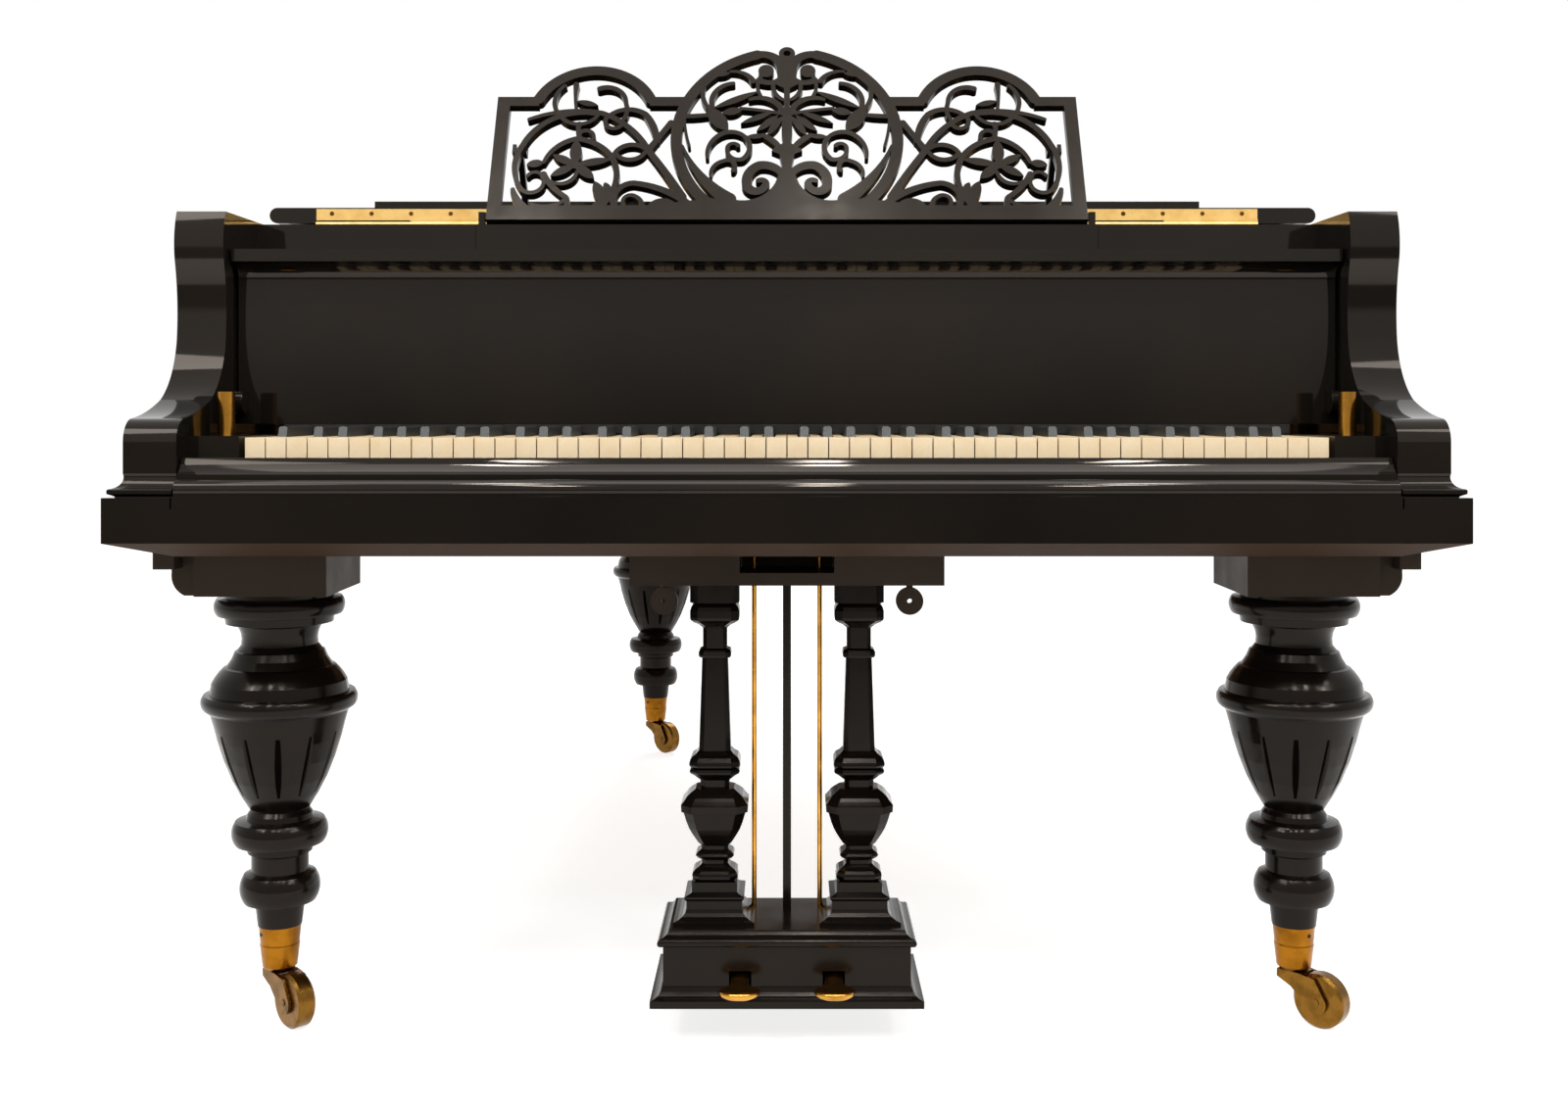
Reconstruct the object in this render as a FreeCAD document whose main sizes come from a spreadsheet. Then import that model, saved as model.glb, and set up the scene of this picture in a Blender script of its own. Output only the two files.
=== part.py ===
import FreeCAD, Part
import math
import os
import re

import Sketcher

# A grand piano with its lid closed and the front flap folded back.
# Millimetres and degrees. +X is the treble side, +Y points to the tail, +Z is up.
# The origin lies on the floor, under the middle of the whole instrument.

Vector = FreeCAD.Vector
TINY = 1e-6

# Driving sizes, one named value each
SIZES = {
    # Case
    "overall_length": 2030,
    "case_width": 1468,
    "rim_thickness": 59,
    "rim_depth": 385,
    "rim_setback": 315,
    "bend_length": 1530,
    "cheek_radius": 420,
    "cheek_turn": 55,
    "waist_radius": 900,
    "waist_turn": 45,
    "tail_radius": 200,
    "leg_height": 518,
    "leg_block_height": 52,
    "keybed_proud": 16,
    "keybed_depth": 455,
    "keybed_thickness": 69,
    "bevel_run": 58,
    "bevel_rise": 19,
    "plinth_rise": 26,
    "plinth_proud": 12,
    "plinth_setback": 5,
    # Arms
    "arm_height": 309,
    "arm_setback": 20,
    "nose_rise": 35,
    "nose_round": 26,
    "sill_setback": 130,
    "sill_rise": 82,
    "throat_setback": 182,
    "throat_rise": 154,
    "neck_setback": 175,
    "neck_drop": 58,
    # Keyboard and action
    "key_zone": 62.44,
    "key_gap": 1.4,
    "key_setback": 60,
    "key_length": 420,
    "key_head": 50,
    "key_level": 65,
    "key_thickness": 24,
    "balance_setback": 230,
    "sharp_width": 10,
    "sharp_rise": 12,
    "sharp_length": 105,
    "sharp_slope": 5,
    "sharp_ease": 1.8,
    "slip_depth": 48,
    "slip_rise": 43,
    "slip_band": 12,
    "slip_clearance": 2,
    "block_gap": 4.5,
    "block_depth": 160,
    "block_rise": 67,
    "rest_radius": 10,
    "rest_setback": 140,
    "frame_rail_width": 40,
    "frame_rail_rise": 16,
    "frame_overhang": 30,
    "hammer_width": 10,
    "hammer_setback": 425,
    "hammer_reach": 142,
    "hammer_low": 96,
    "hammer_drop": 45,
    "running_gap": 0.3,
    # Fallboard
    "fallboard_setback": 208,
    "fallboard_rise": 106,
    "panel_offset": 12,
    "panel_thickness": 18,
    "panel_below": 27,
    "panel_above": 185,
    "lip_depth": 45,
    "lip_thickness": 15,
    "cove_size": 20,
    "end_clearance": 3,
    "lug_width": 12,
    "lug_radius": 14,
    "pin_radius": 5,
    "pin_length": 10,
    "pin_clearance": 0.06,
    # Music shelf, tray and desk
    "shelf_setback": 298,
    "shelf_depth": 227,
    "shelf_thickness": 31,
    "shelf_drop": 3,
    "tray_margin": 11,
    "tray_board": 14,
    "runner_width": 16,
    "desk_width": 770,
    "desk_thickness": 12,
    "desk_lean": 28,
    "desk_setback": 15,
    "desk_lift": 9,
    "stile_width": 17,
    "stile_height": 192,
    "ring_radius": 153,
    "ring_centre": 124,
    "arch_radius": 89,
    "arch_centre": 155,
    "arch_place": 256,
    "ring_bar": 15,
    "strut_place": 352,
    "strut_height": 115,
    "strut_offset": 13,
    "strut_width": 8,
    "strut_depth": 9,
    "desk_pin_radius": 3,
    # Lid
    "lid_thickness": 22,
    "lid_overhang": 16,
    "lid_setback": 540,
    "flap_depth": 350,
    "flap_gap": 3,
    "lip_inset": 67,
    "lip_rise": 50,
    "lip_board": 20,
    "seat_gap": 0.5,
    "flap_knuckle": 3,
    "leaf_thickness": 2,
    "leaf_height": 16,
    "lid_knuckle": 4.5,
    "lid_hinge_length": 72,
    "hinge_pin": 2,
    "prop_length": 1023,
    "prop_drop": 112,
    "prop_foot_x": 150,
    "prop_foot_back": 529,
    "prop_swing": 60.6,
    "prop_width": 16,
    # Strung back
    "plank_depth": 210,
    "plank_setback": 325,
    "plank_thickness": 35,
    "plank_level": 139,
    "plate_thickness": 9,
    "plate_border": 110,
    "plate_bar": 34,
    "string_rise": 8,
    "bass_rise": 12,
    "string_width": 1.6,
    "bass_pitch": 11,
    "tenor_start": -300,
    "tenor_share": 0.4335,
    "board_thickness": 9,
    "inner_rim": 45,
    "belly_setback": 590,
    "belly_thickness": 40,
    "brace_width": 60,
    "brace_height": 76,
    "bridge_width": 32,
    "tuning_pin_width": 6,
    "tuning_pin_rise": 26,
    "damper_width": 9,
    "damper_length": 40,
    "damper_height": 18,
    # Legs and castors
    "leg_inset": 122,
    "leg_setback": 190,
    "rear_leg_in": 451,
    "rear_leg_back": 254,
    "leg_block_width": 154,
    "flute_count": 12,
    "ear_width": 30,
    "ear_depth": 60,
    "ear_setback": 12,
    "toe_depth": 30,
    "toe_drop": 19,
    "flute_depth": 3,
    "flute_reach": 12,
    "cup_top": 115,
    "cup_bottom": 66,
    "cup_top_radius": 25,
    "cup_bottom_radius": 20.5,
    "stem_radius": 8,
    "stem_length": 30,
    "wheel_radius": 32,
    "wheel_width": 22,
    "castor_trail": 36,
    "castor_turn": -45,
    "axle_radius": 4,
    "fork_wall": 4,
    "fork_clearance": 0.5,
    # Lyre
    "lyre_width": 373,
    "lyre_block_depth": 90,
    "lyre_block_height": 43,
    "lyre_setback": 150,
    "lyre_recess_width": 112,
    "lyre_recess_height": 28,
    "column_spread": 172.8,
    "column_top_gap": 5,
    "box_width": 289,
    "box_depth": 140,
    "box_setback": 120,
    "box_bottom": 42,
    "box_height": 77,
    "box_wall": 11,
    "box_floor": 8,
    "box_base_proud": 14.5,
    "box_base_height": 21,
    "box_cap_proud": 6.5,
    "box_cap_height": 9,
    "plinth_cap": 8,
    "pedal_spread": 109,
    "pedal_length": 60,
    "pedal_width": 48,
    "pedal_thickness": 12,
    "pedal_tail": 62,
    "pedal_shank": 22,
    "pedal_pivot": 45,
    "pedal_level": 30,
    "pedal_axle": 4,
    "rod_spread": 80,
    "rod_radius": 3,
    "rod_back": 50,
    "brace_bar": 10,
    "knob_radius": 16.5,
    "knob_place": 148,
    "knob_thickness": 10,
    "knob_drop": 6,
    "knob_neck": 4,
    "knob_eye": 3,
}

# Places worked out from the driving sizes
PLACES = {
    "front_y": "-overall_length / 2",
    "tail_y": "overall_length / 2 - lid_overhang",
    "half_case": "case_width / 2",
    "half_inner": "half_case - rim_thickness",
    "keybed_width": "case_width + 2 * keybed_proud",
    "cheek_length": "overall_length - bend_length",
    "white_pitch": "(half_inner - key_zone) / 26",
    "tray_width": "desk_width + 2 * tray_margin",
    "lip_width": "case_width - 2 * lip_inset",
    "leg_spread": "case_width - 2 * leg_inset",
    "rear_leg_x": "-half_case + rear_leg_in",
    "rear_leg_y": "tail_y - rear_leg_back",
    "prop_foot_y": "tail_y - prop_foot_back",
    "tenor_length": "tenor_share * overall_length",
    "keybed_bottom": "leg_height + leg_block_height",
    "keybed_top": "keybed_bottom + keybed_thickness",
    "plinth_top": "keybed_top + plinth_rise",
    "rim_top": "plinth_top + arm_height",
    "rim_bottom": "rim_top - rim_depth",
    "rim_front": "front_y + rim_setback",
    "keybed_back": "front_y + keybed_depth",
    "key_front": "front_y + key_setback",
    "key_back": "key_front + key_length",
    "key_top": "keybed_top + key_level",
    "key_bottom": "key_top - key_thickness",
    "balance_y": "key_front + balance_setback",
    "half_keys": "26 * white_pitch",
    "block_inner": "half_keys + block_gap",
    "block_top": "keybed_top + block_rise",
    "fall_y": "front_y + fallboard_setback",
    "fall_z": "keybed_top + fallboard_rise",
    "rest_top": "fall_z + panel_offset - seat_gap",
    "shelf_front": "front_y + shelf_setback",
    "shelf_back": "shelf_front + shelf_depth",
    "shelf_top": "rim_top - shelf_drop",
    "shelf_bottom": "shelf_top - shelf_thickness",
    "half_tray": "tray_width / 2",
    "desk_y": "shelf_front + desk_setback",
    "desk_z": "shelf_top + desk_lift",
    "lid_bottom": "rim_top + seat_gap",
    "lid_top": "lid_bottom + lid_thickness",
    "lid_front": "front_y + lid_setback",
    "flap_bottom": "lid_top + flap_gap",
    "flap_top": "flap_bottom + lid_thickness",
    "flap_back": "lid_front + flap_depth",
    "flap_axis_y": "lid_front - flap_knuckle - seat_gap",
    "flap_axis_z": "lid_top + flap_gap / 2",
    "lid_axis_x": "-half_case - lid_knuckle - seat_gap",
    "lid_axis_z": "rim_top + seat_gap / 2",
    "plank_bottom": "keybed_top + plank_level",
    "plate_bottom": "plank_bottom + plank_thickness",
    "plate_top": "plate_bottom + plate_thickness",
    "string_z": "plate_top + string_rise",
    "bass_z": "string_z + bass_rise",
    "belly_y": "front_y + belly_setback",
    "belly_back": "belly_y + belly_thickness",
    "board_bottom": "plank_bottom - 14",
    "board_top": "board_bottom + board_thickness",
    "lyre_y": "front_y + leg_setback",
    "lyre_block_bottom": "keybed_bottom - lyre_block_height",
    "box_front": "front_y + box_setback",
    "box_back": "box_front + box_depth",
    "box_top": "box_bottom + box_height",
    "deck_top": "box_top + plinth_cap",
    "pedal_y": "box_front + pedal_pivot",
    "pedal_z": "box_bottom + pedal_level",
    "rod_y": "pedal_y + rod_back",
    "prop_z": "lid_bottom - prop_drop",
}

doc = FreeCAD.newDocument("grand_piano")
sheet = doc.addObject("Spreadsheet::Sheet", "sizes")
sheet.Label = "sizes"
for row, (name, value) in enumerate(list(SIZES.items()) + list(PLACES.items()), start=1):
    text = str(value) if name in SIZES else "=" + value
    sheet.set("A%d" % row, name)
    sheet.set("B%d" % row, text)
    sheet.setAlias("B%d" % row, name)
doc.recompute()


class Reader:
    """Reads a value of the sheet by its name."""

    def __getattr__(self, name):
        return float(getattr(sheet, name))


S = Reader()
NODES = {}
SHARED = {}


def bound(text):
    """Turn a formula of bare size names into one that names the sheet."""
    known = set(SIZES) | set(PLACES)
    return re.sub(r"[a-z_]+", lambda word: "sizes." + word.group() if word.group() in known else word.group(), text)


def keep(label, thing):
    """Register a finished sub-part under its node name."""
    thing.Label = label
    NODES[label] = thing
    return thing


def share(label, thing):
    """Collect a piece for a node that holds several like pieces."""
    SHARED.setdefault(label, []).append(thing)
    return thing


def box(name, along_x, along_y, along_z):
    """A block between bound limits on each axis."""
    block = doc.addObject("Part::Box", name)
    for prop, axis, (low, high) in zip(("Length", "Width", "Height"), "xyz", (along_x, along_y, along_z)):
        block.setExpression(prop, bound("(%s) - (%s)" % (high, low)))
        block.setExpression("Placement.Base." + axis, bound(low))
    return block


def rod(name, axis, centre, radius, length):
    """A cylinder that starts at centre and runs along a row axis."""
    turn = {"x": FreeCAD.Rotation(Vector(0, 1, 0), 90), "y": FreeCAD.Rotation(Vector(1, 0, 0), -90),
            "z": FreeCAD.Rotation()}[axis]
    cylinder = doc.addObject("Part::Cylinder", name)
    cylinder.Placement = FreeCAD.Placement(Vector(), turn)
    cylinder.setExpression("Radius", bound(radius))
    cylinder.setExpression("Height", bound(length))
    for letter, place in zip("xyz", centre):
        cylinder.setExpression("Placement.Base." + letter, bound(place))
    return cylinder


def fuse(name, pieces):
    """One solid from pieces that meet."""
    joined = doc.addObject("Part::MultiFuse", name)
    joined.Shapes = pieces
    joined.Refine = True
    return joined


def cut(name, base, tools):
    """A base with each tool taken out of it."""
    for number, tool in enumerate(tools):
        result = doc.addObject("Part::Cut", "%s_%d" % (name, number))
        result.Base = base
        result.Tool = tool
        base = result
    return base


def common(name, pieces):
    """What all the pieces have in common."""
    result = doc.addObject("Part::MultiCommon", name)
    result.Shapes = pieces
    return result


def add_loop(sketch, steps):
    """Draw a closed loop: (u, v) is a line, (mid u, mid v, u, v) an arc through its middle."""
    first = sketch.GeometryCount
    start = Vector(steps[0][0], steps[0][1], 0)
    here = start
    for step in steps[1:]:
        end = Vector(step[-2], step[-1], 0)
        if len(step) == 4:
            sketch.addGeometry(Part.Arc(here, Vector(step[0], step[1], 0), end))
        else:
            sketch.addGeometry(Part.LineSegment(here, end))
        here = end
    if here.distanceToPoint(start) > TINY:
        sketch.addGeometry(Part.LineSegment(here, start))
    last = sketch.GeometryCount - 1
    for index in range(first, last + 1):
        follower = index + 1 if index < last else first
        ends = [(a, b) for a in (1, 2) for b in (1, 2)
                if sketch.getPoint(index, a).distanceToPoint(sketch.getPoint(follower, b)) < TINY]
        sketch.addConstraint(Sketcher.Constraint("Coincident", index, ends[0][0], follower, ends[0][1]))


def sketch_in(body, role, loops, level="0"):
    """A sketch on one of the body's own planes, lifted to a bound level."""
    support = [plane for plane in body.Origin.OriginFeatures if plane.Role == role][0]
    sketch = body.newObject("Sketcher::SketchObject", body.Name + "_sketch")
    sketch.AttachmentSupport = [(support, "")]
    sketch.MapMode = "FlatFace"
    sketch.setExpression("AttachmentOffset.Base.z", bound(level))
    for loop in loops:
        add_loop(sketch, loop)
    return sketch


def padded(name, role, loops, level, length):
    """A body whose profile is drawn on a plane and padded along its normal."""
    body = doc.addObject("PartDesign::Body", name)
    profile = sketch_in(body, role, loops, level)
    pad = body.newObject("PartDesign::Pad", name + "_pad")
    pad.Profile = profile
    pad.setExpression("Length", bound(length))
    return body


def turned(name, profile):
    """A body turned about its own Z axis from a half profile of (radius, height) steps."""
    body = doc.addObject("PartDesign::Body", name)
    steps = [(0, profile[0][-1])] + profile + [(0, profile[-1][-1])]
    sketch = sketch_in(body, "XZ_Plane", [steps])
    revolution = body.newObject("PartDesign::Revolution", name + "_turning")
    revolution.Profile = sketch
    revolution.ReferenceAxis = (sketch, ["V_Axis"])
    revolution.Angle = 360
    return body


def place(thing, x, y, z="0", spin="0"):
    """Put a finished body at a bound place, turned about the vertical."""
    for letter, text in zip("xyz", (x, y, z)):
        thing.setExpression("Placement.Base." + letter, bound(text))
    thing.Placement.Rotation = FreeCAD.Rotation(Vector(0, 0, 1), 0)
    thing.setExpression("Placement.Rotation.Angle", bound(spin))
    return thing


def shaped(name, shapes):
    """A feature whose shapes are worked out in a loop."""
    feature = doc.addObject("Part::Feature", name)
    feature.Shape = Part.makeCompound(shapes) if len(shapes) > 1 else shapes[0]
    return feature


def solids(name, shapes):
    """A node of shapes worked out in a loop."""
    return keep(name, shaped(name, shapes))


def prism(points, direction):
    """A straight solid from a flat polygon of 3-D points."""
    return Part.Face(Part.makePolygon(points + points[:1])).extrude(direction)


def block(low, high):
    """A plain block between two corners."""
    return Part.makeBox(high[0] - low[0], high[1] - low[1], high[2] - low[2], Vector(*low))


# Plan of the case: straight spine and cheek, bent side, round tail
def heading(angle):
    return Vector(math.cos(math.radians(angle)), math.sin(math.radians(angle)), 0)


def arc_steps(centre, radius, start, sweep):
    """Middle and end of an arc, as one loop step."""
    middle = centre + heading(start + sweep / 2) * radius
    end = centre + heading(start + sweep) * radius
    return (middle.x, middle.y, end.x, end.y)


def plan_steps(inset, front, spine_inset=None):
    """The case's plan from the treble front corner round the tail to the bass front corner."""
    spine_inset = inset if spine_inset is None else spine_inset
    bend_centre = Vector(S.half_case - S.cheek_radius, S.rim_front + S.cheek_length, 0)
    bend_end = bend_centre + heading(S.cheek_turn) * S.cheek_radius
    waist_centre = bend_end + heading(S.cheek_turn) * S.waist_radius
    waist_end = waist_centre - heading(S.cheek_turn - S.waist_turn) * S.waist_radius
    tail_turn = 90 - S.cheek_turn + S.waist_turn
    round_radius = (S.tail_y - waist_end.y) / (1 - math.cos(math.radians(tail_turn)))
    round_centre = waist_end - heading(90 - tail_turn) * round_radius
    corner = Vector(-S.half_case + S.tail_radius, S.tail_y - S.tail_radius, 0)
    left = -S.half_case + spine_inset
    corner_radius = S.tail_radius - inset
    corner_end = corner + Vector(-corner_radius, 0, 0)
    steps = [(S.half_case - inset, front), (S.half_case - inset, bend_centre.y)]
    steps.append(arc_steps(bend_centre, S.cheek_radius - inset, 0, S.cheek_turn))
    steps.append(arc_steps(waist_centre, S.waist_radius + inset, 180 + S.cheek_turn, -S.waist_turn))
    steps.append(arc_steps(round_centre, round_radius - inset, 90 - tail_turn, tail_turn))
    steps.append((corner.x, S.tail_y - inset))
    steps.append(arc_steps(corner, corner_radius, 90, 90))
    if abs(left - corner_end.x) > TINY:
        steps.append((left, corner_end.y))
    steps.append((left, front))
    return steps


def reversed_steps(steps):
    """The same path walked backwards."""
    ends = [step[-2:] for step in steps]
    back = [ends[-1]]
    for step, end in zip(reversed(steps[1:]), reversed(ends[:-1])):
        back.append(step[:2] + end if len(step) == 4 else end)
    return back


def plan_face(inset, front):
    """The plan as a flat face at height zero."""
    edges = []
    steps = plan_steps(inset, front)
    here = Vector(*steps[0], 0)
    for step in steps[1:] + [steps[0]]:
        end = Vector(step[-2], step[-1], 0)
        if len(step) == 4:
            edges.append(Part.Arc(here, Vector(step[0], step[1], 0), end).toShape())
        else:
            edges.append(Part.LineSegment(here, end).toShape())
        here = end
    return Part.Face(Part.Wire(edges))


def plan_slab(inset, front, bottom, top):
    """The plan as a slab between two heights."""
    slab = plan_face(inset, front).extrude(Vector(0, 0, top - bottom))
    slab.translate(Vector(0, 0, bottom))
    return slab


# Case
def band(outer, inner, front):
    return plan_steps(outer, front) + reversed_steps(plan_steps(inner, front))


rim = padded("rim_blank", "XY_Plane", [band(0, S.rim_thickness, S.rim_front)], "rim_bottom", "rim_depth")
rim_notch = box("rim_notch", ("-keybed_width", "keybed_width"), ("rim_front - rim_thickness", "keybed_back"),
                ("rim_bottom - bevel_rise", "plinth_top"))
keep("rim", cut("rim_cut", rim, [rim_notch]))

keep("inner_rim", padded("inner_rim_body", "XY_Plane",
                         [band(S.rim_thickness, S.rim_thickness + S.inner_rim, S.belly_back)],
                         "rim_bottom", "board_bottom - rim_bottom"))
share("back_braces", box("belly_rail_block", ("-half_inner", "half_inner"), ("belly_y", "belly_back"),
                       ("keybed_top", "board_bottom")))

keybed_profile = [(S.front_y, S.keybed_top), (S.front_y, S.keybed_bottom + S.bevel_rise),
                  (S.front_y + S.bevel_run, S.keybed_bottom), (S.keybed_back, S.keybed_bottom),
                  (S.keybed_back, S.keybed_top)]
keybed = padded("keybed_slab", "YZ_Plane", [keybed_profile], "-keybed_width / 2", "keybed_width")
side_bevels = []
for side in (-1, 1):
    edge = side * S.keybed_width / 2
    outside = edge + side
    side_bevels.append([(edge - side * S.bevel_run, S.keybed_bottom), (edge, S.keybed_bottom + S.bevel_rise),
                        (outside, S.keybed_bottom + S.bevel_rise), (outside, S.keybed_bottom - 1),
                        (edge - side * S.bevel_run, S.keybed_bottom - 1)])
bevels = padded("keybed_bevels", "XZ_Plane", side_bevels, "-keybed_back - 1", "keybed_depth + 2")
slip_recess = box("slip_recess", ("-half_inner", "half_inner"), ("front_y - 1", "front_y + slip_depth"),
                  ("keybed_top - slip_band", "keybed_top + 1"))
keep("keybed", cut("keybed_cut", keybed, [bevels, slip_recess]))

slip_low = S.keybed_top - S.slip_band
slip_top = S.keybed_top + S.slip_rise
# (setback, rise) steps of the slip's mouldings, drawn for a rise of 43
SLIP_MOULDING = ((0, 1), (5, 2.5), (5, 5), (6.5, 15, 14, 20), (14, 23), (17, 23), (17, 25), (26, 32.5, 32, 43))
slip_scale = S.slip_rise / 43
slip_profile = [(S.front_y, slip_low)]
for step in SLIP_MOULDING:
    setbacks = [S.front_y + setback for setback in step[0::2]]
    rises = [S.keybed_top + rise * slip_scale for rise in step[1::2]]
    slip_profile.append(tuple(value for pair in zip(setbacks, rises) for value in pair))
slip_profile += [(S.front_y + S.slip_depth, slip_top), (S.front_y + S.slip_depth, slip_low)]
keep("keyslip", padded("keyslip_body", "YZ_Plane", [slip_profile], "-half_inner + slip_clearance",
                       "2 * (half_inner - slip_clearance)"))

# Arms: scrolled front profile, bored for the fallboard's pins
arm_front = S.front_y + S.arm_setback
nose_z = S.plinth_top + S.nose_rise
sill = (S.front_y + S.sill_setback, S.plinth_top + S.sill_rise)
throat = (S.front_y + S.throat_setback, S.plinth_top + S.throat_rise)
neck = (S.front_y + S.neck_setback, S.rim_top - S.neck_drop)
crown = (throat[0], S.rim_top)
shoulder = (arm_front + S.nose_round, nose_z + S.nose_round)
arm_profile = [(arm_front, S.plinth_top), (arm_front, nose_z),
               (arm_front + 0.3 * S.nose_round, nose_z + 0.7 * S.nose_round) + shoulder,
               ((shoulder[0] + sill[0]) / 2, (shoulder[1] + sill[1]) / 2 - 3) + sill,
               (0.36 * sill[0] + 0.64 * throat[0], 0.6 * sill[1] + 0.4 * throat[1]) + throat,
               (0.4 * throat[0] + 0.6 * neck[0] + 6, (throat[1] + neck[1]) / 2) + neck,
               (0.6 * neck[0] + 0.4 * crown[0] - 4, (neck[1] + crown[1]) / 2) + crown,
               (S.rim_front, S.rim_top), (S.rim_front, S.plinth_top)]


def plinth_edge(face, reach):
    """The outer edge of a plinth: a groove, a lip and a cove up to the arm's face."""
    low = S.keybed_top
    rise = S.plinth_rise
    return [(face + 0.5 * reach, low), (face + 0.5 * reach, low + 0.04 * rise), (face + reach, low + 0.16 * rise),
            (face + reach, low + 0.32 * rise), (face + 0.88 * reach, low + 0.36 * rise),
            (face + 0.2 * reach, low + 0.52 * rise, face, S.plinth_top)]


for side, start in (("left", "-half_case"), ("right", "half_inner")):
    arm = padded("arm_%s_body" % side, "YZ_Plane", [arm_profile], start, "rim_thickness")
    bore_start = "-half_inner - pin_length - 1" if side == "left" else "half_inner - 1"
    bore = rod("arm_%s_bore" % side, "x", (bore_start, "fall_y", "fall_z"), "pin_radius + pin_clearance",
               "pin_length + 2")
    keep("arm_" + side, cut("arm_%s_cut" % side, arm, [bore]))
    plinth_start = "-half_case - plinth_proud" if side == "left" else "half_inner"
    outward = -1 if side == "left" else 1
    front_run = padded("plinth_%s_front_run" % side, "YZ_Plane",
                       [plinth_edge(arm_front, S.plinth_setback - S.arm_setback)
                        + [(S.keybed_back, S.plinth_top), (S.keybed_back, S.keybed_top)]],
                       plinth_start, "rim_thickness + plinth_proud")
    side_run = padded("plinth_%s_side_run" % side, "XZ_Plane",
                      [plinth_edge(outward * S.half_case, outward * S.plinth_proud)
                       + [(outward * S.half_inner, S.plinth_top), (outward * S.half_inner, S.keybed_top)]],
                      "-keybed_back", "keybed_depth")
    share("plinths", common("plinth_" + side, [front_run, side_run]))

    block_x = ("-half_inner", "-block_inner") if side == "left" else ("block_inner", "half_inner")
    share("key_blocks", box("key_block_%s_block" % side, block_x,
                                  ("key_front - 5", "key_front - 5 + block_depth"), ("keybed_top", "block_top")))

for number, x in enumerate(("-half_inner + rest_radius + 5", "half_inner - rest_radius - 5")):
    share("fallboard_rests", rod("rest_%d" % number, "z", (x, "front_y + rest_setback", "block_top"), "rest_radius",
                                 "rest_top - block_top"))

# Fallboard, open: panel with a moulded lip, end lugs and pivot pins
panel_front = S.fall_y + S.panel_offset
panel_back = panel_front + S.panel_thickness
panel_top = S.fall_z + S.panel_above
lip_front = panel_back - S.lip_depth
lip_low = panel_top - S.lip_thickness
fall_profile = [(panel_front, S.fall_z - S.panel_below), (panel_front, lip_low - S.cove_size),
                (panel_front - 0.3 * S.cove_size, lip_low - 0.3 * S.cove_size, panel_front - S.cove_size, lip_low),
                (lip_front, lip_low), (lip_front, panel_top), (panel_back, panel_top),
                (panel_back, S.fall_z - S.panel_below)]
fall_panel = padded("fall_panel", "YZ_Plane", [fall_profile], "-half_inner + end_clearance",
                    "2 * (half_inner - end_clearance)")
fall_pieces = [fall_panel]
for number, (start, pin_start) in enumerate((("-half_inner + end_clearance", "-half_inner - pin_length + end_clearance"),
                                             ("half_inner - end_clearance - lug_width",
                                              "half_inner - end_clearance - lug_width"))):
    fall_pieces.append(rod("fall_lug_%d" % number, "x", (start, "fall_y", "fall_z"), "lug_radius", "lug_width"))
    fall_pieces.append(rod("fall_pin_%d" % number, "x", (pin_start, "fall_y", "fall_z"), "pin_radius",
                           "pin_length + lug_width"))
keep("fallboard", fuse("fallboard_fuse", fall_pieces))

# Music shelf sides with runners, and the sliding tray between them
for side in ("left", "right"):
    near = ("-half_inner", "-half_tray - seat_gap") if side == "left" else ("half_tray + seat_gap", "half_inner")
    lip = ("-half_tray - seat_gap", "-half_tray + runner_width") if side == "left" \
        else ("half_tray - runner_width", "half_tray + seat_gap")
    board = box("shelf_%s_board" % side, near, ("shelf_front", "shelf_back"), ("shelf_bottom", "shelf_top"))
    runner = box("shelf_%s_runner" % side, lip, ("shelf_front + runner_width", "shelf_back"),
                 ("shelf_bottom", "shelf_top - tray_board - running_gap"))
    share("shelf_sides", fuse("shelf_%s_fuse" % side, [board, runner]))
tray_pieces = [box("tray_board_block", ("-half_tray", "half_tray"), ("shelf_front", "shelf_back"),
                   ("shelf_top - tray_board", "shelf_top")),
               box("tray_rail", ("-half_tray", "half_tray"), ("shelf_front", "shelf_front + runner_width - seat_gap"),
                   ("shelf_bottom", "shelf_top"))]
for number, low in enumerate(("-desk_width / 2 - 9", "desk_width / 2 + 1")):
    tray_pieces.append(box("tray_ear_%d" % number, (low, low + " + 8"), ("desk_y - 8", "desk_y + 8"),
                           ("shelf_top", "desk_z + 8")))
tray_bore = rod("tray_bore", "x", ("-desk_width / 2 - 10", "desk_y", "desk_z"), "desk_pin_radius + pin_clearance",
                "desk_width + 20")
keep("music_tray", cut("tray_cut", fuse("tray_fuse", tray_pieces), [tray_bore]))


# Fretwork desk: bars of round-ended arcs in the plane of the desk, then given its thickness
def bar_arc(x, y, radius, start, sweep, width):
    """A bar that follows an arc, with round ends."""
    outer, inner = radius + width / 2, radius - width / 2
    centre = Vector(x, y, 0)

    def at(r, angle):
        return centre + heading(angle) * r

    end = start + sweep
    bulge = math.copysign(1, sweep) * math.degrees(width / 2 / radius)
    edges = [Part.Arc(at(outer, start), at(outer, start + sweep / 2), at(outer, end)),
             Part.Arc(at(outer, end), at(radius, end + bulge), at(inner, end)),
             Part.Arc(at(inner, end), at(inner, start + sweep / 2), at(inner, start)),
             Part.Arc(at(inner, start), at(radius, start - bulge), at(outer, start))]
    return Part.Face(Part.Wire([edge.toShape() for edge in edges]))


def bar_ring(x, y, radius, width):
    """A full ring."""
    outer = Part.Wire(Part.makeCircle(radius + width / 2, Vector(x, y, 0)))
    inner = Part.Wire(Part.makeCircle(radius - width / 2, Vector(x, y, 0)))
    return Part.Face(outer).cut(Part.Face(inner))


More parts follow.
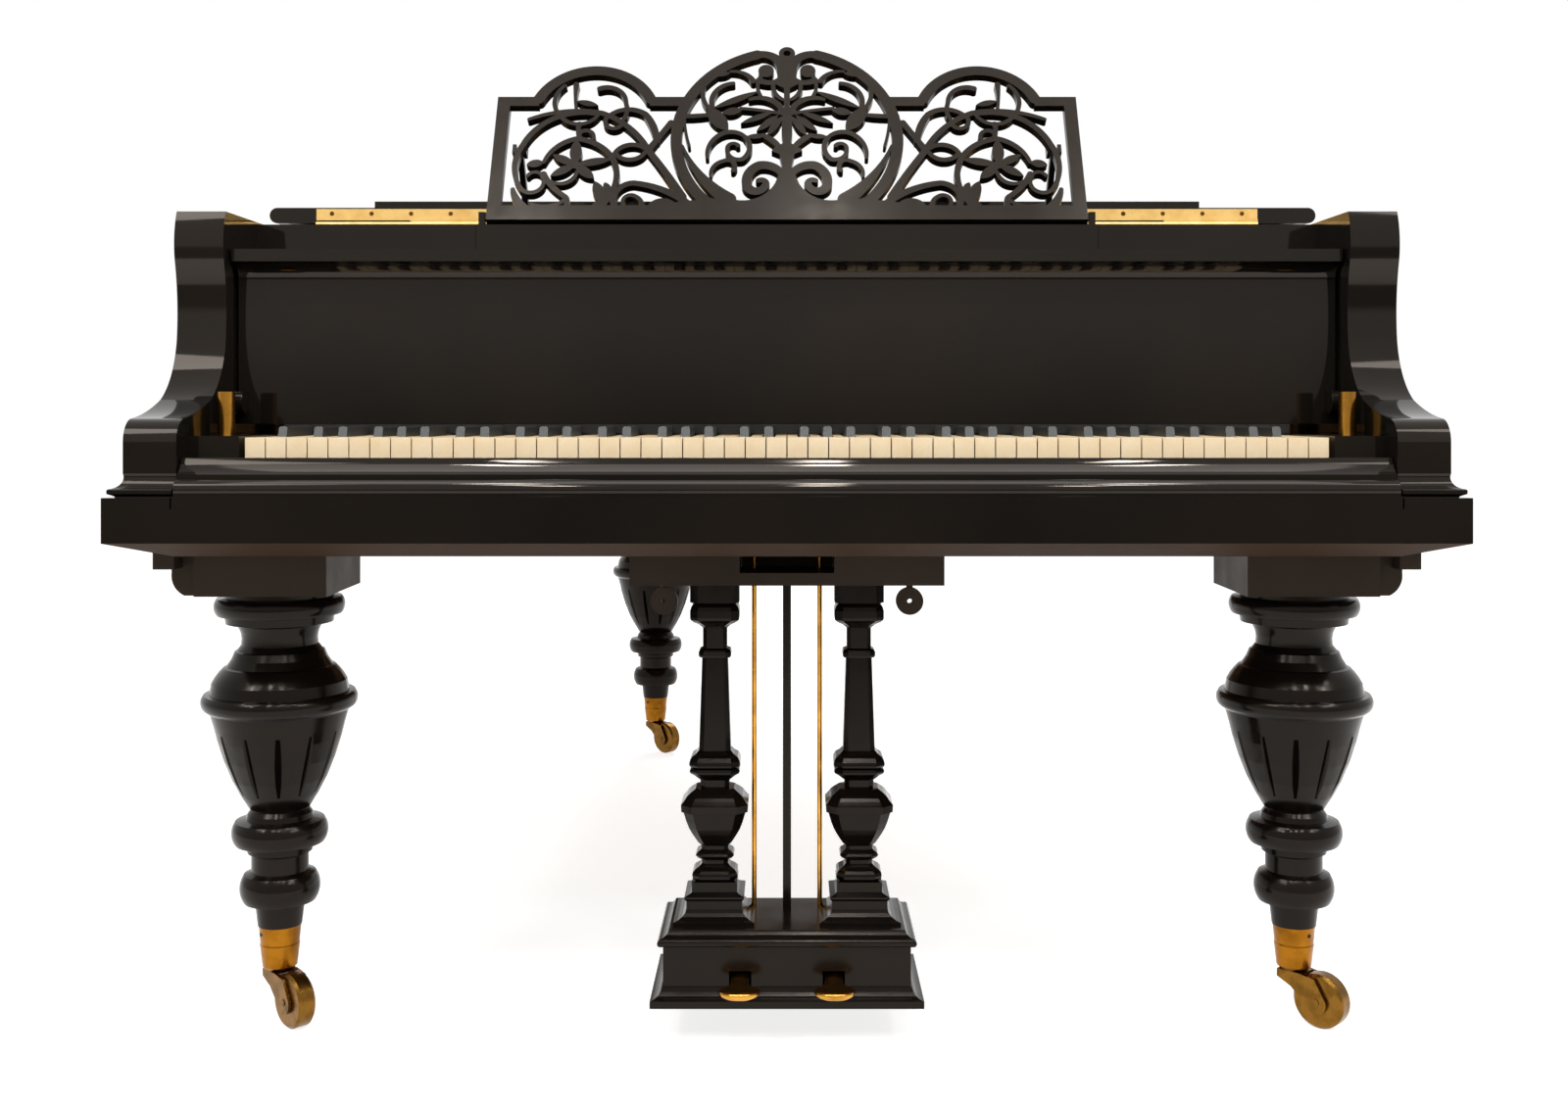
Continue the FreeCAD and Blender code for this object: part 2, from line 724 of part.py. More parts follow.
def bar_disc(x, y, radius):
    return Part.Face(Part.Wire(Part.makeCircle(radius, Vector(x, y, 0))))


def through(first, middle, last):
    """An edge through three points: an arc, or a line when they are in a row."""
    turn = (middle - first).cross(last - middle).z
    curve = Part.LineSegment(first, last) if abs(turn) < 0.5 else Part.Arc(first, middle, last)
    return curve.toShape()


def vine(points):
    """Faces of a bar that winds through (x, y, width) points, one arc for each three of them."""
    spots = [Vector(x, y, 0) for x, y, width in points]
    sides = [Vector() for spot in spots]
    starts = range(0, len(spots) - 2, 2)
    for first in starts:
        near, middle, far = spots[first:first + 3]
        turn = (middle - near).cross(far - middle).z
        for index, spot in enumerate((near, middle, far)):
            across = Vector(near.y - far.y, far.x - near.x, 0)
            if abs(turn) >= 0.5:
                across = (through(near, middle, far).Curve.Center - spot) * math.copysign(1, turn)
            sides[first + index] += across.normalize()
    left, right = [], []
    for spot, side, (x, y, width) in zip(spots, sides, points):
        side.normalize()
        left.append(spot + side * (width / 2))
        right.append(spot - side * (width / 2))
    faces = []
    for first in starts:
        last = first + 2
        edges = [through(*left[first:last + 1]), Part.LineSegment(left[last], right[last]).toShape(),
                 through(*right[first:last + 1][::-1]), Part.LineSegment(right[first], left[first]).toShape()]
        faces.append(Part.Face(Part.Wire(edges)))
    for end in (0, -1):
        faces.append(bar_disc(spots[end].x, spots[end].y, points[end][2] / 2))
    return faces


def leaf(x, y, tip_x, tip_y, width):
    """A pointed leaf of two arcs."""
    base = Vector(x, y, 0)
    tip = Vector(tip_x, tip_y, 0)
    middle = (base + tip) / 2
    side = Vector(base.y - tip.y, tip.x - base.x, 0).normalize() * (width / 2)
    edges = [Part.Arc(base, middle + side, tip), Part.Arc(tip, middle - side, base)]
    return Part.Face(Part.Wire([edge.toShape() for edge in edges]))


def flat_bar(low, high):
    return Part.Face(Part.makePolygon([Vector(low[0], low[1], 0), Vector(high[0], low[1], 0),
                                       Vector(high[0], high[1], 0), Vector(low[0], high[1], 0),
                                       Vector(low[0], low[1], 0)]))


half_desk = S.desk_width / 2
rail_low = -S.desk_pin_radius - 2
ring_y = S.ring_centre
right_half = [flat_bar((half_desk - S.stile_width, rail_low), (half_desk, S.stile_height)),
              flat_bar((0, rail_low), (half_desk, S.stile_width)),
              bar_arc(S.arch_place, S.arch_centre, S.arch_radius - S.ring_bar / 2, 24, 132, S.ring_bar)]
arch_reach = math.sqrt(S.arch_radius ** 2 - (S.stile_height - S.arch_centre) ** 2) - S.ring_bar / 2
ring_reach = math.sqrt(S.ring_radius ** 2 - (S.stile_height - S.ring_centre) ** 2) - S.ring_bar / 2
right_half.append(flat_bar((S.arch_place + arch_reach, S.stile_height - S.ring_bar), (half_desk, S.stile_height)))
right_half.append(flat_bar((ring_reach, S.stile_height - S.ring_bar), (S.arch_place - arch_reach, S.stile_height)))
# Winding stems of one half, as (x, y, width) along each
STEMS = (
    ((135, 30, 12), (156, 66, 10), (182, 105, 9), (209, 142, 8), (245, 165, 8), (290, 168, 7), (341, 155, 5)),
    ((255, 165, 8), (315, 152, 8), (346, 113, 8), (354, 72, 7), (343, 42, 6), (325, 38, 6), (316, 59, 5),
     (324, 69, 5), (336, 64, 5)),
    ((228, 35, 6), (221, 66, 8), (231, 97, 8), (253, 116, 8), (276, 123, 8), (301, 110, 7), (317, 85, 5)),
    ((316, 66, 9), (302, 45, 8), (285, 30, 7)),
    ((225, 100, 6), (206, 113, 7), (186, 107, 6)),
    ((225, 100, 6), (207, 89, 7), (186, 100, 6)),
    ((238, 158, 6), (214, 171, 7), (187, 163, 8), (176, 142, 10), (171, 120, 8)),
    ((238, 158, 6), (231, 140, 6), (217, 150, 6)),
    ((180, 107, 9), (168, 126, 8), (153, 149, 9)),
    ((282, 213, 8), (282, 194, 5), (279, 168, 5)),
    ((297, 211, 5), (309, 188, 6), (301, 162, 6), (278, 147, 6), (250, 162, 5)),
    ((250, 206, 8), (226, 204, 7), (214, 181, 6), (212, 168, 6), (218, 153, 5)),
    ((274, 147, 8), (275, 136, 6), (272, 123, 8)),
    ((273, 132, 6), (262, 136, 6), (254, 124, 5)),
    ((130, 22, 10), (167, 44, 9), (198, 52, 8), (218, 42, 8), (223, 19, 8), (216, 4, 7), (201, -1, 7),
     (186, 13, 6), (195, 31, 6)),
    ((195, 31, 6), (210, 28, 5), (208, 15, 5)),
    ((173, -4, 10), (171, 16, 14), (146, 19, 6)),
    ((173, 4, 8), (136, 16, 14), (62, 4, 10)),
    ((266, -4, 6), (240, 19, 14), (226, 38, 10)),
    ((354, 42, 6), (341, 16, 12), (309, -2, 5)),
    ((297, 5, 5), (283, 19, 7), (286, 31, 6)),
    ((328, 19, 5), (305, 16, 5), (283, 28, 6)),
    ((306, 55, 4), (287, 52, 6), (273, 69, 5)),
    ((39, 264, 12), (22, 262, 12), (6, 243, 16)),
    ((6, 66, 10), (19, 78, 12), (36, 80, 13), (50, 66, 13), (52, 51, 13), (41, 39, 12), (29, 46, 10)),
    ((29, 46, 10), (30, 56, 8), (37, 56, 7)),
    ((137, 112, 3), (114, 66, 11), (76, 26, 22)),
    ((96, 39, 8), (51, 18, 14), (6, 44, 24)),
    ((116, 29, 4), (75, 9, 22), (43, -3, 6)),
    ((53, 124, 5), (71, 134, 7), (90, 128, 7), (101, 114, 6), (104, 93, 5)),
    ((54, 125, 7), (49, 106, 7), (58, 90, 7), (73, 93, 6), (78, 106, 6), (73, 115, 5), (64, 112, 6)),
    ((32, 129, 6), (18, 119, 9), (6, 103, 4)),
    ((70, 72, 6), (71, 86, 6), (83, 87, 6), (93, 81, 6), (99, 63, 4)),
    ((6, 170, 8), (24, 188, 8), (49, 188, 5)),
    ((6, 164, 5), (36, 170, 5), (61, 173, 5)),
    ((45, 219, 8), (58, 232, 6), (76, 235, 4)),
    ((37, 220, 10), (24, 216, 8), (6, 223, 12)),
    ((38, 220, 5), (39, 207, 5), (35, 194, 5)),
    ((18, 215, 5), (16, 199, 6), (6, 188, 5)),
    ((100, 231, 5), (112, 207, 6), (105, 175, 6)),
    ((72, 215, 6), (93, 204, 7), (99, 175, 7)),
    ((146, 160, 6), (130, 160, 7), (105, 162, 6)),
    ((136, 162, 4), (134, 139, 4), (128, 111, 4)),
)
# Leaves of one half: base, tip and breadth
LEAVES = (
    (317, 85, 339, 81, 12), (280, 185, 251, 178, 9), (235, 19, 249, 55, 16), (228, 35, 236, 53, 10),
    (276, 81, 276, 121, 16), (276, 81, 306, 97, 12), (276, 81, 307, 63, 12), (276, 81, 250, 59, 14),
    (276, 81, 228, 90, 12), (28, 128, 54, 126, 8), (105, 175, 78, 136, 21), (86, 165, 59, 171, 12),
    (99, 173, 37, 202, 10), (18, 167, 61, 148, 9), (11, 162, 40, 135, 10), (6, 160, 26, 128, 10),
    (76, 232, 102, 230, 9),
)
# (height, half width) of the spindle in the middle of the ring
SPINDLE = ((8, 30), (26, 25), (53, 15), (78, 6), (98, 10), (103, 20), (108, 17), (116, 5), (129, 7), (155, 7),
           (167, 4), (207, 4), (212, 13), (242, 13), (247, 6), (262, 6))
right_half.append(bar_arc(0, ring_y, S.ring_radius - S.ring_bar / 2, -90, 164, S.ring_bar))
for stem in STEMS:
    right_half += vine(stem)
for numbers in LEAVES:
    right_half.append(leaf(*numbers))
right_half += [bar_disc(28, 236, 10.5), bar_disc(276, 81, 6)]
right_half += vine(((28, 236, 6), (34, 229, 6), (37, 220, 6)))
left_half = [face.mirror(Vector(), Vector(1, 0, 0)) for face in right_half]
spindle = [Vector(half, y, 0) for y, half in SPINDLE] + [Vector(-half, y, 0) for y, half in reversed(SPINDLE)]
middle = [Part.Face(Part.makePolygon(spindle + spindle[:1])), bar_ring(0, 266, 8, 6)]
upward = [face if face.normalAt(0, 0).z > 0 else face.reversed()
          for shape in middle + right_half + left_half for face in shape.Faces]
fret = upward[0].fuse(upward[1:]).removeSplitter()
below = flat_bar((-half_desk, rail_low - S.ring_radius), (half_desk, rail_low))
fret = fret.cut(below)
fret_plane = FreeCAD.Rotation(Vector(1, 0, 0), 90)
desk_board = fret.extrude(Vector(0, 0, S.desk_thickness))
desk_board.translate(Vector(0, 0, -S.desk_thickness / 2))
desk_board.Placement = FreeCAD.Placement(Vector(), fret_plane).multiply(desk_board.Placement)
desk_pins = [Part.makeCylinder(S.desk_pin_radius, 20, Vector(sign * (half_desk - 10), 0, 0), Vector(sign, 0, 0))
             for sign in (-1, 1)]
lug_size = S.strut_width / 2 + 0.5
desk_lugs = []
for sign in (-1, 1):
    for offset in (-lug_size - 5, lug_size):
        x = sign * S.strut_place + offset
        desk_lugs.append(block((x, S.desk_thickness / 2 - 1, S.strut_height - 7),
                               (x + 5, S.strut_offset + 5, S.strut_height + 7)))
    desk_lugs.append(Part.makeCylinder(S.hinge_pin, 2 * lug_size + 8,
                                       Vector(sign * S.strut_place - lug_size - 4, S.strut_offset, S.strut_height),
                                       Vector(1, 0, 0)))
desk_shape = desk_board.fuse(desk_pins + desk_lugs).removeSplitter()
desk = solids("music_desk", [desk_shape.Solids[0] if len(desk_shape.Solids) == 1 else desk_shape])
lean = FreeCAD.Rotation(Vector(1, 0, 0), -S.desk_lean)
desk.Placement = FreeCAD.Placement(Vector(0, S.desk_y, S.desk_z), lean)

# Desk struts: an isosceles prop, so its foot stays on the tray as the desk tilts
strut_top = lean.multVec(Vector(0, S.strut_offset, S.strut_height))
strut_length = strut_top.Length
strut_angle = math.degrees(math.atan2(strut_top.z, strut_top.y))
foot_radius = S.desk_lift - S.running_gap
struts = []
for sign in (-1, 1):
    x = sign * S.strut_place - S.strut_width / 2
    across = Vector(1, 0, 0)
    shaft = block((x, 0, -S.strut_depth / 2), (x + S.strut_width, strut_length, S.strut_depth / 2))
    eye = Part.makeCylinder(S.strut_depth / 2 + 1, S.strut_width, Vector(x, 0, 0), across)
    foot = Part.makeCylinder(foot_radius, S.strut_width, Vector(x, strut_length, 0), across)
    hole = Part.makeCylinder(S.hinge_pin + S.pin_clearance, S.strut_width + 2, Vector(x - 1, 0, 0), across)
    struts.append(shaft.fuse([eye, foot]).cut(hole).removeSplitter())
struts_node = solids("desk_struts", struts)
struts_node.Placement = FreeCAD.Placement(Vector(0, S.desk_y + strut_top.y, S.desk_z + strut_top.z),
                                          FreeCAD.Rotation(Vector(1, 0, 0), -strut_angle))

# Lid, with the flap folded back on it
keep("lid", padded("lid_body", "XY_Plane", [plan_steps(-S.lid_overhang, S.lid_front, 0)], "lid_bottom",
                   "lid_thickness"))
flap_end = S.half_case + S.lid_overhang
flap_round = S.lid_thickness / 2
flap_profile = [(-S.half_case + flap_round, S.flap_bottom), (flap_end - flap_round, S.flap_bottom),
                (flap_end, S.flap_bottom + flap_round, flap_end - flap_round, S.flap_top),
                (-S.half_case + flap_round, S.flap_top),
                (-S.half_case, S.flap_bottom + flap_round, -S.half_case + flap_round, S.flap_bottom)]
flap_board = padded("flap_board", "XZ_Plane", [flap_profile], "-flap_back", "flap_depth")
flap_lip = box("flap_lip", ("-lip_width / 2", "lip_width / 2"), ("flap_back - lip_board", "flap_back"),
               ("flap_top", "flap_top + lip_rise"))
keep("lid_flap", fuse("flap_fuse", [flap_board, flap_lip]))


# Long flap hinge: knuckles take turns along the fold, each on its own leaf
flap_axis = Vector(0, S.flap_axis_y, S.flap_axis_z)
flap_turns = 10
flap_step = S.lip_width / flap_turns
leaf_face = S.lid_front
lid_leaf = [block((-S.lip_width / 2, leaf_face - S.leaf_thickness, S.lid_top - S.leaf_height - 4),
                  (S.lip_width / 2, leaf_face, S.lid_top - 4))]
flap_leaf = [block((-S.lip_width / 2, leaf_face - S.leaf_thickness, S.flap_bottom + 4),
                   (S.lip_width / 2, leaf_face, S.flap_bottom + 4 + S.leaf_height))]
for number in range(flap_turns):
    start = -S.lip_width / 2 + number * flap_step + S.seat_gap / 2
    length = flap_step - S.seat_gap
    base = Vector(start, S.flap_axis_y, S.flap_axis_z)
    across = Vector(1, 0, 0)
    knuckle = Part.makeCylinder(S.flap_knuckle, length, base, across)
    if number % 2 == 0:
        tab = block((start, S.flap_axis_y - 1, S.lid_top - 6), (start + length, leaf_face - S.seat_gap, S.flap_axis_z))
        lid_leaf += [knuckle, tab]
    else:
        tab = block((start, S.flap_axis_y - 1, S.flap_axis_z), (start + length, leaf_face - S.seat_gap, S.flap_bottom + 6))
        hole = Part.makeCylinder(S.hinge_pin + S.pin_clearance, length + 2, base - across, across)
        flap_leaf += [knuckle.cut(hole), tab.cut(hole)]
pin = Part.makeCylinder(S.hinge_pin, S.lip_width - S.seat_gap, Vector(-S.lip_width / 2 + S.seat_gap / 2, S.flap_axis_y,
                                                                      S.flap_axis_z), Vector(1, 0, 0))
solids("flap_hinge_lid_leaf", [lid_leaf[0].fuse(lid_leaf[1:] + [pin]).removeSplitter()])
solids("flap_hinge_flap_leaf", [flap_leaf[0].fuse(flap_leaf[1:]).removeSplitter()])

# Three butt hinges along the spine
case_leaves = []
lid_leaves = []
hinge_y = [S.lid_front + 180, (S.lid_front + S.tail_y) / 2 - 60, S.tail_y - S.tail_radius - 150]
third = S.lid_hinge_length / 3
rim_face = -S.half_case
along = Vector(0, 1, 0)
for y in hinge_y:
    start = Vector(S.lid_axis_x, y - S.lid_hinge_length / 2, S.lid_axis_z)
    case_plate = block((rim_face - S.leaf_thickness, start.y, S.lid_axis_z - 8 - S.leaf_height),
                       (rim_face, start.y + S.lid_hinge_length, S.lid_axis_z - 8))
    case_parts = [case_plate]
    for part_start in (start.y, start.y + 2 * third):
        knuckle = Part.makeCylinder(S.lid_knuckle, third, Vector(S.lid_axis_x, part_start, S.lid_axis_z), along)
        tab = block((rim_face - S.leaf_thickness - 1, part_start, S.lid_axis_z - 10),
                    (rim_face - S.seat_gap, part_start + third, S.lid_axis_z))
        case_parts += [knuckle, tab]
    case_parts.append(Part.makeCylinder(S.hinge_pin, S.lid_hinge_length, start, along))
    case_leaves.append(case_parts[0].fuse(case_parts[1:]).removeSplitter())
    lid_start = Vector(S.lid_axis_x, start.y + third + S.running_gap, S.lid_axis_z)
    length = third - 2 * S.running_gap
    hole = Part.makeCylinder(S.hinge_pin + S.pin_clearance, length + 2, lid_start - along, along)
    lid_plate = block((rim_face - S.leaf_thickness, start.y, S.lid_axis_z + 6),
                      (rim_face, start.y + S.lid_hinge_length, S.lid_axis_z + 6 + S.leaf_height))
    knuckle = Part.makeCylinder(S.lid_knuckle, length, lid_start, along)
    tab = block((rim_face - S.leaf_thickness - 1, lid_start.y, S.lid_axis_z),
                (rim_face - S.seat_gap, lid_start.y + length, S.lid_axis_z + 8))
    lid_leaves.append(lid_plate.fuse([knuckle, tab]).cut(hole).removeSplitter())
solids("lid_hinge_case_leaves", case_leaves)
solids("lid_hinge_lid_leaves", lid_leaves)

# Lid prop: a stick that lies over the strings and turns up on a bracket at the bent side
prop_half = S.prop_width / 2
prop_stick = block((0, -prop_half, -prop_half), (S.prop_length - prop_half, prop_half, prop_half))
prop_eye = Part.makeCylinder(prop_half, S.prop_width, Vector(0, -prop_half, 0), Vector(0, 1, 0))
prop_tip = Part.makeCylinder(prop_half, S.prop_width, Vector(S.prop_length - prop_half, -prop_half, 0), Vector(0, 1, 0))
prop_hole = Part.makeCylinder(S.pin_radius + S.pin_clearance, S.prop_width + 2, Vector(0, -prop_half - 1, 0),
                              Vector(0, 1, 0))
prop_place = FreeCAD.Placement(Vector(S.prop_foot_x, S.prop_foot_y, S.prop_z),
                               FreeCAD.Rotation(Vector(0, 0, 1), -S.prop_swing))
prop = solids("lid_prop", [prop_stick.fuse([prop_eye, prop_tip]).cut(prop_hole).removeSplitter()])
prop.Placement = prop_place

# Strung back: wrest plank, iron plate, soundboard, bridges, strings and pins
keep("wrest_plank", box("wrest_plank_block", ("-half_inner", "half_inner"),
                        ("front_y + plank_setback", "front_y + plank_setback + plank_depth"),
                        ("plank_bottom", "plate_bottom")))
plank_front = S.front_y + S.plank_setback
plank_back = plank_front + S.plank_depth
share("soundboard", shaped("soundboard_panel", [plan_slab(S.rim_thickness, S.belly_y, S.board_bottom, S.board_top)]))

string_front = plank_back - 20
plate_outer = plan_face(S.rim_thickness + S.running_gap, plank_front)
window_front = plank_back + 12
window = plan_face(S.rim_thickness + S.plate_border, window_front)
bars = []
bar_places = [share_x * S.half_case for share_x in (-0.586, -0.1635, 0.286)]
for x in bar_places:
    lean_x = -0.12 * x - 60
    bars.append(Part.Face(Part.makePolygon([Vector(x - S.plate_bar / 2, window_front - 60, 0),
                                            Vector(x + S.plate_bar / 2, window_front - 60, 0),
                                            Vector(x + lean_x + S.plate_bar / 2, S.tail_y, 0),
                                            Vector(x + lean_x - S.plate_bar / 2, S.tail_y, 0),
                                            Vector(x - S.plate_bar / 2, window_front - 60, 0)])))
windows = window.cut(bars)
plate_flat = plate_outer.cut(windows)
plate = plate_flat.extrude(Vector(0, 0, S.plate_thickness))
plate.translate(Vector(0, 0, S.plate_bottom))
# Bracket of the lid prop stands on the plate
bracket_out = S.prop_width / 2 + 1
bracket_parts = []
for side in (-1, 1):
    low = bracket_out if side > 0 else -bracket_out - 6
    cheek = block((-10, low, S.plate_top - S.prop_z - 1), (10, low + 6, prop_half))
    bracket_parts.append(cheek)
prop_pin = Part.makeCylinder(S.pin_radius, 2 * bracket_out + 8, Vector(0, -bracket_out - 4, 0), Vector(0, 1, 0))
bracket_parts.append(prop_pin)
bracket = bracket_parts[0].fuse(bracket_parts[1:])
bracket.Placement = prop_place
# Nut bars carry the front ends of the strings, higher under the bass
nut_front = string_front - 2
nut_back = string_front + 14
bass_end = S.tenor_start - 40
nuts = [block((-S.half_keys, nut_front, S.plate_top - 1), (bass_end, nut_back, S.bass_z - S.running_gap)),
        block((bass_end, nut_front, S.plate_top - 1), (S.half_keys, nut_back, S.string_z - S.running_gap))]
solids("iron_plate", [plate.fuse([bracket] + nuts).removeSplitter()])

NOTES = 88
BASS_NOTES = 22
tail_inner = S.tail_y - S.rim_thickness


def string_ends(note):
    """Front and back ends of one note's string; the bass fans across the tenor on a higher level."""
    if note < BASS_NOTES:
        part = note / (BASS_NOTES - 1)
        front = Vector(-S.half_keys + 20 + note * S.bass_pitch, string_front, S.bass_z)
        back = Vector((0.545 * part - 0.64) * S.half_case, tail_inner - 190 - 60 * part, S.bass_z)
    else:
        part = (note - BASS_NOTES) / (NOTES - 1 - BASS_NOTES)
        front = Vector(S.tenor_start + part * (S.half_keys - 20 - S.tenor_start), string_front, S.string_z)
        length = S.tenor_length * (1 - part) ** 1.35 + 130
        back = Vector(front.x - 170 * (1 - part) - 20, window_front + 20 + length, S.string_z)
    return front, back


def string_bar(note):
    front, back = string_ends(note)
    half_width = S.string_width * (1.4 if note < BASS_NOTES else 1.0) / 2
    side = Vector(half_width, 0, 0)
    rise = Vector(0, 0, 2 * half_width)
    return prism([front - side, front + side, back + side, back - side], rise)


solids("strings", [string_bar(note) for note in range(NOTES)])
pin_half = S.tuning_pin_width / 2
pins = []
for note in range(NOTES):
    front, back = string_ends(note)
    row = note % 3
    y = front.y - 26 - 32 * row
    pins.append(block((front.x - pin_half, y - pin_half, S.plate_top),
                      (front.x + pin_half, y + pin_half, S.plate_top + S.tuning_pin_rise)))
solids("tuning_pins", pins)


def bridge_bar(notes, share, top):
    """A bridge under the strings of some notes, at a share of their length."""
    near, far = [], []
    for note in notes:
        front, back = string_ends(note)
        spot = front + (back - front) * share
        near.append(Vector(spot.x, spot.y - S.bridge_width / 2, S.board_top))
        far.append(Vector(spot.x, spot.y + S.bridge_width / 2, S.board_top))
    return prism(near + far[::-1], Vector(0, 0, top - S.board_top))


bass_bridge = bridge_bar((0, 11, BASS_NOTES - 1), 0.9, S.bass_z - S.running_gap)
long_bridge = bridge_bar((BASS_NOTES, 34, 48, 62, 76, NOTES - 1), 0.86, S.string_z - S.running_gap)
bar_clearance = plate_flat.extrude(Vector(0, 0, S.bass_z - S.board_top))
bar_clearance.translate(Vector(0, 0, S.board_top + S.running_gap))
solids("bridges", bass_bridge.cut(bar_clearance).Solids + long_bridge.cut([bass_bridge, bar_clearance]).Solids)
rib_slab = plan_slab(S.rim_thickness + S.inner_rim + S.seat_gap, S.belly_back + 20, S.board_bottom - 22, S.board_bottom)
ribs = []
rib_pitch = (S.tail_y - S.belly_back - 280) / 8
for number in range(9):
    y = S.belly_back + 90 + number * rib_pitch
    slice_box = block((-S.case_width, y, S.board_bottom - 22), (S.case_width, y + 26, S.board_bottom))
    ribs.append(rib_slab.common(slice_box).Solids[0])
share("soundboard", shaped("soundboard_ribs", ribs))

brace_slab = plan_slab(S.rim_thickness + S.inner_rim, S.belly_back, S.rim_bottom, S.rim_bottom + S.brace_height)
braces = []
for x in [share_x * S.half_case for share_x in (-0.572, -0.15, 0.2725)]:
    beam = block((x - S.brace_width / 2, S.belly_back, S.rim_bottom),
                 (x + S.brace_width / 2, S.overall_length, S.rim_bottom + S.brace_height))
    braces.append(brace_slab.common(beam).Solids[0])
share("back_braces", shaped("back_beams", braces))
rail_slab = plan_slab(S.rim_thickness / 2, S.rim_front, S.keybed_bottom, S.rim_bottom)
rail_box = block((-S.case_width, S.rear_leg_y - S.leg_block_width / 2 - 20, S.keybed_bottom),
                 (S.case_width, S.rear_leg_y + S.leg_block_width / 2 + 20, S.rim_bottom))
share("back_braces", shaped("rear_leg_rail", [rail_slab.common(rail_box)]))

# Keyboard: one node for the keys of each name, so neighbours move by themselves
OCTAVE = ("c", "c_sharp", "d", "d_sharp", "e", "f", "f_sharp", "g", "g_sharp", "a", "a_sharp", "b")
LOW_SLOTS = 5
HIGH_SLOTS = 7
octave_width = 7 * S.white_pitch
low_slot = 3 * S.white_pitch / LOW_SLOTS
high_slot = 4 * S.white_pitch / HIGH_SLOTS
first_c = -S.half_keys + 2 * S.white_pitch
head_back = S.key_front + S.key_head


def slot_limits(name, octave_x):
    """Left and right of a key's tail."""
    index = OCTAVE.index(name)
    if index < LOW_SLOTS:
        left = octave_x + index * low_slot
        return left, left + low_slot
    left = octave_x + 3 * S.white_pitch + (index - LOW_SLOTS) * high_slot
    return left, left + high_slot


def natural_key(name, octave_x, last):
    """A natural: a full-width head and a tail between its sharps."""
    white = [note for note in OCTAVE if "sharp" not in note].index(name)
    gap = S.key_gap / 2
    left = octave_x + white * S.white_pitch + gap
    right = octave_x + (white + 1) * S.white_pitch - gap
    tail_left, tail_right = slot_limits(name, octave_x)
    tail_left = max(tail_left + gap, left)
    tail_right = right if last else min(tail_right - gap, right)
    outline = [(left, S.key_front), (right, S.key_front), (right, head_back), (tail_right, head_back),
               (tail_right, S.key_back), (tail_left, S.key_back), (tail_left, head_back), (left, head_back)]
    points = []
    for x, y in outline:
        point = Vector(x, y, S.key_bottom)
        if not points or point.distanceToPoint(points[-1]) > TINY:
            points.append(point)
    return prism(points, Vector(0, 0, S.key_thickness))


def sharp_key(name, octave_x):
    """A sharp: a raised, sloped finger block on a straight stick."""
    left, right = slot_limits(name, octave_x)
    x = (left + right - S.sharp_width) / 2
    front = head_back + S.key_gap
    top = S.key_top + S.sharp_rise
    side = [(front, S.key_bottom), (front, S.key_top), (front + S.sharp_slope, top), (front + S.sharp_length, top),
            (front + S.sharp_length, S.key_top), (S.key_back, S.key_top), (S.key_back, S.key_bottom)]
    key = prism([Vector(x, y, z) for y, z in side], Vector(S.sharp_width, 0, 0))
    ridges = [edge for edge in key.Edges if abs(edge.Vertexes[0].X - edge.Vertexes[-1].X) < TINY
              and all(abs(vertex.Z - top) < TINY for vertex in edge.Vertexes)]
    return key.makeChamfer(S.sharp_ease, ridges)


keys = {name: [] for name in OCTAVE}
for octave in range(-1, 8):
    octave_x = first_c + octave * octave_width
    for name in OCTAVE:
        if octave == -1 and name not in ("a", "a_sharp", "b"):
            continue
        if octave == 7 and name != "c":
            continue
        key = sharp_key(name, octave_x) if "sharp" in name else natural_key(name, octave_x, octave == 7)
        keys[name].append(key)
for name in OCTAVE:
    solids("keys_" + name, keys[name])

# Key frame with its narrow balance rail, the action stack over the key tails, and the hammers
frame_floor = S.keybed_top + S.running_gap
rail_top = frame_floor + S.frame_rail_rise
reach = S.half_keys + S.frame_overhang
rail_width = S.frame_rail_width
frame_parts = [block((-S.half_keys, S.key_front + 2, frame_floor), (S.half_keys, S.key_front + 2 + rail_width, rail_top)),
               block((-reach, S.key_back - rail_width, frame_floor), (reach, S.key_back, rail_top))]
for x in (-S.half_keys, -S.half_keys / 3, S.half_keys / 3 - rail_width, S.half_keys - rail_width):
    frame_parts.append(block((x, S.key_front + 10, frame_floor), (x + rail_width, S.key_back - 10, rail_top)))
balance_top = S.key_bottom - S.running_gap
balance_side = [(-rail_width / 2, frame_floor), (rail_width / 2, frame_floor), (rail_width / 2, rail_top),
                (5, balance_top), (-5, balance_top), (-rail_width / 2, rail_top)]
frame_parts.append(prism([Vector(-S.half_keys, S.balance_y + y, z) for y, z in balance_side],
                         Vector(2 * S.half_keys, 0, 0)))
share("action_frame", shaped("key_frame", [frame_parts[0].fuse(frame_parts[1:]).removeSplitter()]))

